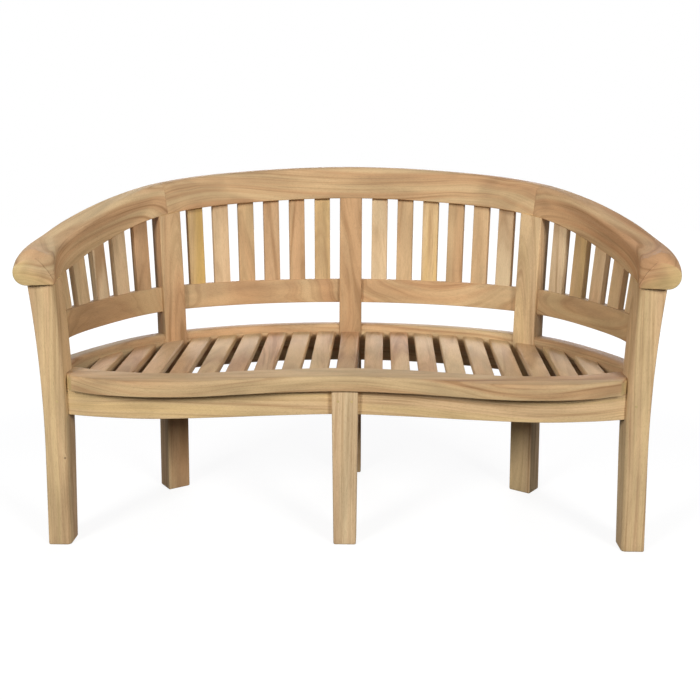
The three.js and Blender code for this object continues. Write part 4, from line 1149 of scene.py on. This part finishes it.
back_slats = []
for turn, tones in zip(sorted([-t for t in centre_turns] + centre_turns), CENTRE_SLAT_TONES):
    back_slats.append(slat_line(turn, 0.0, *tones))
for name, side in SIDES:
    for turn, tones in zip(side_turns, SIDE_SLAT_TONES[name]):
        back_slats.append(slat_line(side * turn, SIDE_RAIL_FALL, *tones))
slat_names = [f"back_slat_{i:02d}" for i in range(1, 2 * CENTRE_BAY_SLATS + 1)]
slat_names += [f"side_slat_{name}_{i}" for name, _ in SIDES for i in range(1, SIDE_BAY_SLATS)]
back_slat_size = (BACK_SLAT_THICKNESS, BACK_SLAT_WIDTH, SLAT_EASING)
make_sticks("back_slats", back_slats, slat_names, back_slat_size, seed=11)

# %% Where the seat slats lie
SEAT_SLAT_EASING = 4 * MM
SEAT_SLAT_INTO_RAIL, SEAT_SLAT_KEPT_IN = 6 * MM, 8 * MM  # from the rail's inner and outer faces
SEAT_SLAT_DROP = 0.6 * MM  # slats lie a hair below the front board, as sanded boards do
SEAT_SLAT_TONES, SEAT_SLAT_SHADES = (-0.3, 0.3), (-0.35, 0.25)
HALVINGS, SETTLE_ROUNDS = 24, 20


def bow_y_at(x, inset):
    """Where a line at x meets the bow, drawn in by an inset."""
    low, high = 0.0, LEG_TURN
    for _ in range(HALVINGS):
        middle = (low + high) / 2
        if on_bow(middle, 0, -inset, 0, 0)[0] < abs(x):
            low = middle
        else:
            high = middle
    return on_bow(low, 0, -inset, 0, 0)[1] - LEG_FACE_Y


def seat_slat_line(index):
    """A slat from the front board to the bow. The slats fan out, and widen to the back."""
    front_y, back_y = front_edge_at(0) + FRONT_RAIL_WIDTH, BOW_START + BOW_DEPTH

    def centre_and_half(y):
        share = (y - front_y) / (back_y - front_y)
        pitch = BOW_HALF_WIDTH * lerp(*SLAT_PITCH_SHARES, share)
        return index * pitch, BOW_HALF_WIDTH * lerp(*SLAT_WIDTH_SHARES, share) / 2

    def settle(at_back):
        """The slat's end, far enough into the rail for both its edges."""
        y = back_y if at_back else front_y
        for _ in range(SETTLE_ROUNDS):
            centre, half = centre_and_half(y)
            edges = (centre - half, centre + half)
            if at_back:
                deep_enough = max(bow_y_at(x, SEAT_RAIL_THICKNESS / 2 - SEAT_SLAT_INTO_RAIL) for x in edges)
                still_inside = min(bow_y_at(x, SEAT_SLAT_KEPT_IN - SEAT_RAIL_THICKNESS / 2) for x in edges)
                y = min(deep_enough, still_inside)
            else:
                y = min(front_edge_at(x) + FRONT_RAIL_WIDTH - SEAT_SLAT_INTO_RAIL for x in edges)
        return y

    ys = settle(False), settle(True)
    z = SEAT_HEIGHT - SEAT_SLAT_DROP - SEAT_SLAT_THICKNESS / 2
    places = [centre_and_half(y) for y in ys]
    points = [np.array([centre, LEG_FACE_Y + y, z]) for (centre, _), y in zip(places, ys)]
    mark = mark_for(*points, tone=rng.uniform(*SEAT_SLAT_TONES), shade=rng.uniform(*SEAT_SLAT_SHADES))
    upward = [np.array([0.0, 0.0, 1.0])] * 2
    return {"points": points, "faces": upward, "half_widths": [half for _, half in places], "mark": mark}


count = SEAT_SLATS_EACH_SIDE
seat_slats = [seat_slat_line(index) for index in range(-count, count + 1)]
print("the middle seat slat is", round(math.dist(*seat_slats[count]["points"]), 3), "m long")

# %% Seat slats and the bearer under them
BEARER_WIDTH, BEARER_HEIGHT, BEARER_EASING = 56 * MM, 62 * MM, 2 * MM
BEARER_CLEARANCE = 0.5 * MM  # above and below it
BEARER_LOOK = {"tone": 0.1, "shade": -0.1}

seat_slat_names = [f"seat_slat_{i:02d}" for i in range(1, 2 * count + 2)]
seat_slat_size = (SEAT_SLAT_THICKNESS, BOW_HALF_WIDTH * SLAT_WIDTH_SHARES[0], SEAT_SLAT_EASING)
make_sticks("seat_slats", seat_slats, seat_slat_names, seat_slat_size, seed=17)

bearer_z = SEAT_HEIGHT - SEAT_SLAT_THICKNESS - BEARER_HEIGHT / 2
bearer_front = centre_leg_back - INTO_NEIGHBOUR
bearer_back = BOW_START + BOW_DEPTH - POST_DEPTH / 2 + INTO_NEIGHBOUR
bearer_points = [np.array([0.0, LEG_FACE_Y + y, bearer_z]) for y in (bearer_front, bearer_back)]
bearer = {
    "points": bearer_points,
    "faces": [np.array([1.0, 0.0, 0.0])] * 2,
    "half_widths": [BEARER_HEIGHT / 2 - BEARER_CLEARANCE] * 2,
    "mark": mark_for(*bearer_points, **BEARER_LOOK),
}
bearer_size = (BEARER_WIDTH, BEARER_HEIGHT - 2 * BEARER_CLEARANCE, BEARER_EASING)
make_sticks("seat_bearer", [bearer], ["seat_stretcher"], bearer_size, seed=2)

# %% [markdown]
# ## Dowel plugs
# The tenons are pegged, and each peg's hole is closed with a plug cut from darker end grain. Plugs repeat,
# so a tree puts the same short cylinder on every point and turns it to the point's own direction.

# %% Plugs
PLUG_WIDTH, PLUG_LENGTH, PLUG_PROUD, PLUG_CORNERS = 6.5 * MM, 6 * MM, 0.25 * MM, 24
PLUG_DROP_SHARE, LEG_PLUG_SHARE, CENTRE_PLUG_SHARE = 0.42, 0.09, 0.3  # of apron height and leg widths
PLUG_LOOK = {"tone": -0.2, "shade": -0.5}
FORWARD = (0.0, -1.0, 0.0)


def plug_tree():
    sizes = {"Width": PLUG_WIDTH, "Length": PLUG_LENGTH, "Proud": PLUG_PROUD}
    tree = new_tree("plugs_on_points", "Points", sizes, {"Corners": PLUG_CORNERS}, "Plugs")
    given = add(tree, "NodeGroupInput").outputs
    facing = add(tree, "GeometryNodeInputNamedAttribute", {"Name": "face"}, data_type="FLOAT_VECTOR")
    turn = add(tree, "FunctionNodeAlignRotationToVector", {"Vector": facing}, axis="Z")
    radius = add(tree, "ShaderNodeMath", (given["Width"], 0.5), operation="MULTIPLY")
    peg_size = {"Vertices": given["Corners"], "Radius": radius, "Depth": given["Length"]}
    peg = add(tree, "GeometryNodeMeshCylinder", peg_size)
    drop = add(tree, "ShaderNodeMath", (given["Length"], -0.5, given["Proud"]), operation="MULTIPLY_ADD")
    offset = add(tree, "ShaderNodeCombineXYZ", {"Z": drop})
    lowered = add(tree, "GeometryNodeSetPosition", {"Geometry": peg, "Offset": offset})
    put = {"Points": given["Points"], "Instance": lowered, "Rotation": turn}
    real = add(tree, "GeometryNodeRealizeInstances", [add(tree, "GeometryNodeInstanceOnPoints", put)])
    done = add(tree, "GeometryNodeSetMaterial", {"Geometry": real, "Material": given["Material"]})
    add(tree, "NodeGroupOutput", [done])
    return tree


plug_height = apron_top - PLUG_DROP_SHARE * APRON_HEIGHT
plug_points = []
for x, y in (
    (LEG_CENTRE_X - LEG_PLUG_SHARE * LEG_WIDTH, LEG_FACE_Y),
    (CENTRE_PLUG_SHARE * CENTRE_LEG_WIDTHS[0], LEG_FACE_Y + CENTRE_LEG_SETBACK),
):
    plug_points += [(side * x, y, plug_height) for _, side in SIDES]
plug_guide = bpy.data.meshes.new("plug_points")
plug_guide.from_pydata(plug_points, [], [])
write_vectors(plug_guide, "face", np.tile(FORWARD, (len(plug_points), 1)))
plug_mesh = evaluate("plugs", plug_guide, plug_tree(), {"Material": teak})
write_mark(plug_mesh, mark_for((0.0, 0.0, 0.0), FORWARD, **PLUG_LOOK))
finish_piece(plug_mesh, "dowel_plugs", [])

# %% [markdown]
# ## Floor, background and light
# The bench stands on plain white. The floor and the world turn white only for the camera and for
# reflections, so the bench isn't lit from below by a bright floor, and its undersides stay as dark as they
# are. The floor keeps a soft shadow, which fades out round the bench so that no edge shows where the floor
# ends. In the photograph the gaps between the seat slats are dark and faces turned to the middle are dim,
# which one lamp at the camera couldn't give. So two soft lamps stand left and right of it, a weak one hangs
# overhead for the seat and the upper edges, one behind gives the back its light in other views, and the sky
# adds a cool, weak fill.

# %% World
FILL = 0.05  # an even sky; the dark floor below gives little back


def white_rays(tree):
    """1 for the rays that should see the white background."""
    rays = add(tree, "ShaderNodeLightPath").outputs
    first = add(tree, "ShaderNodeMath", (rays["Is Camera Ray"], rays["Is Glossy Ray"]), operation="MAXIMUM")
    return add(tree, "ShaderNodeMath", (first, rays["Is Transmission Ray"]), operation="MAXIMUM")


world = bpy.data.worlds.new("studio")
bpy.context.scene.world = world
world.use_nodes = True
sky = world.node_tree
sky.nodes.clear()
fill = add(sky, "ShaderNodeBackground", {"Color": linear("#e8eeff"), "Strength": FILL})
white = add(sky, "ShaderNodeBackground", {"Color": linear("#ffffff"), "Strength": 1.0})
add(sky, "ShaderNodeOutputWorld", [add(sky, "ShaderNodeMixShader", (white_rays(sky), fill, white))])
print("the sky fills in with", FILL)

# %% Floor
FLOOR_HALF = 7.0
SHADOW_SHARE, SHADOW_REACH, FLOOR_GLOW = 0.2, (1.2, 2.8), 1.09  # the shadow fades out between two distances
floor_corners = [(-FLOOR_HALF, -FLOOR_HALF, 0), (FLOOR_HALF, -FLOOR_HALF, 0)]
floor_corners += [(FLOOR_HALF, FLOOR_HALF, 0), (-FLOOR_HALF, FLOOR_HALF, 0)]
floor_mesh = bpy.data.meshes.new("floor")
floor_mesh.from_pydata(floor_corners, [], [(0, 1, 2, 3)])
floor = bpy.data.objects.new("floor", floor_mesh)
bpy.context.scene.collection.objects.link(floor)

# Matt studio paper: white to the camera, and dark grey to the light, so that little of it comes back up
floor_material = bpy.data.materials.new("white_studio_floor")
floor_material.use_nodes = True
paper = floor_material.node_tree
paper.nodes.clear()
dull = add(paper, "ShaderNodeBsdfDiffuse", {"Color": linear("#3a3835")})
glow = add(paper, "ShaderNodeEmission", {"Color": linear("#ffffff"), "Strength": FLOOR_GLOW})
pale = add(paper, "ShaderNodeBsdfDiffuse", {"Color": linear("#ffffff")})
distance = add(paper, "ShaderNodeTexCoord").outputs["Object"]
distance = add(paper, "ShaderNodeVectorMath", [distance], operation="LENGTH")
shadow_row = (distance, *SHADOW_REACH, 1 - SHADOW_SHARE, 1.0)
fade = add(paper, "ShaderNodeMapRange", shadow_row, interpolation_type="SMOOTHSTEP")
shown = add(paper, "ShaderNodeMixShader", (fade, pale, glow))
add(paper, "ShaderNodeOutputMaterial", [add(paper, "ShaderNodeMixShader", (white_rays(paper), dull, shown))])
floor_mesh.materials.append(floor_material)
print("the floor is", 2 * FLOOR_HALF, "m across")

# %% Lamps
AIM = Vector((0.0, 0.0, 0.5))
LAMPS = (  # name, degrees round and up, distance, width and height in metres, level and colour
    ("key_left", -33, 21, 5.0, (1.2, 1.2), 0.55, "#fffdf8"),
    ("key_right", 33, 21, 5.0, (1.2, 1.2), 0.55, "#fffdf8"),
    ("overhead", 0, 90, 3.2, (3.0, 2.0), 0.23, "#f4f6ff"),
    ("behind", 180, 14, 4.5, (4.5, 1.6), 0.65, "#f4f6ff"),
)


def soft_lamp(name, around, above, distance, size, level, colour):
    """level is what the lamp adds to a white surface that faces it."""
    data = bpy.data.lights.new(name, "AREA")
    data.shape = "RECTANGLE"
    data.size, data.size_y = size
    data.energy = level * (math.pi * distance) ** 2
    data.color = linear(colour)[:3]
    lamp = bpy.data.objects.new(name, data)
    around, above = math.radians(around), math.radians(above)
    back = Vector((math.sin(around) * math.cos(above), -math.cos(around) * math.cos(above), math.sin(above)))
    lamp.location = AIM + back * distance
    lamp.rotation_mode = "QUATERNION"
    lamp.rotation_quaternion = (-back).to_track_quat("-Z", "Y")
    bpy.context.scene.collection.objects.link(lamp)


for lamp in LAMPS:
    soft_lamp(*lamp)
bpy.context.scene.view_settings.view_transform = "Standard"
print("lamps:", ", ".join(lamp[0] for lamp in LAMPS))
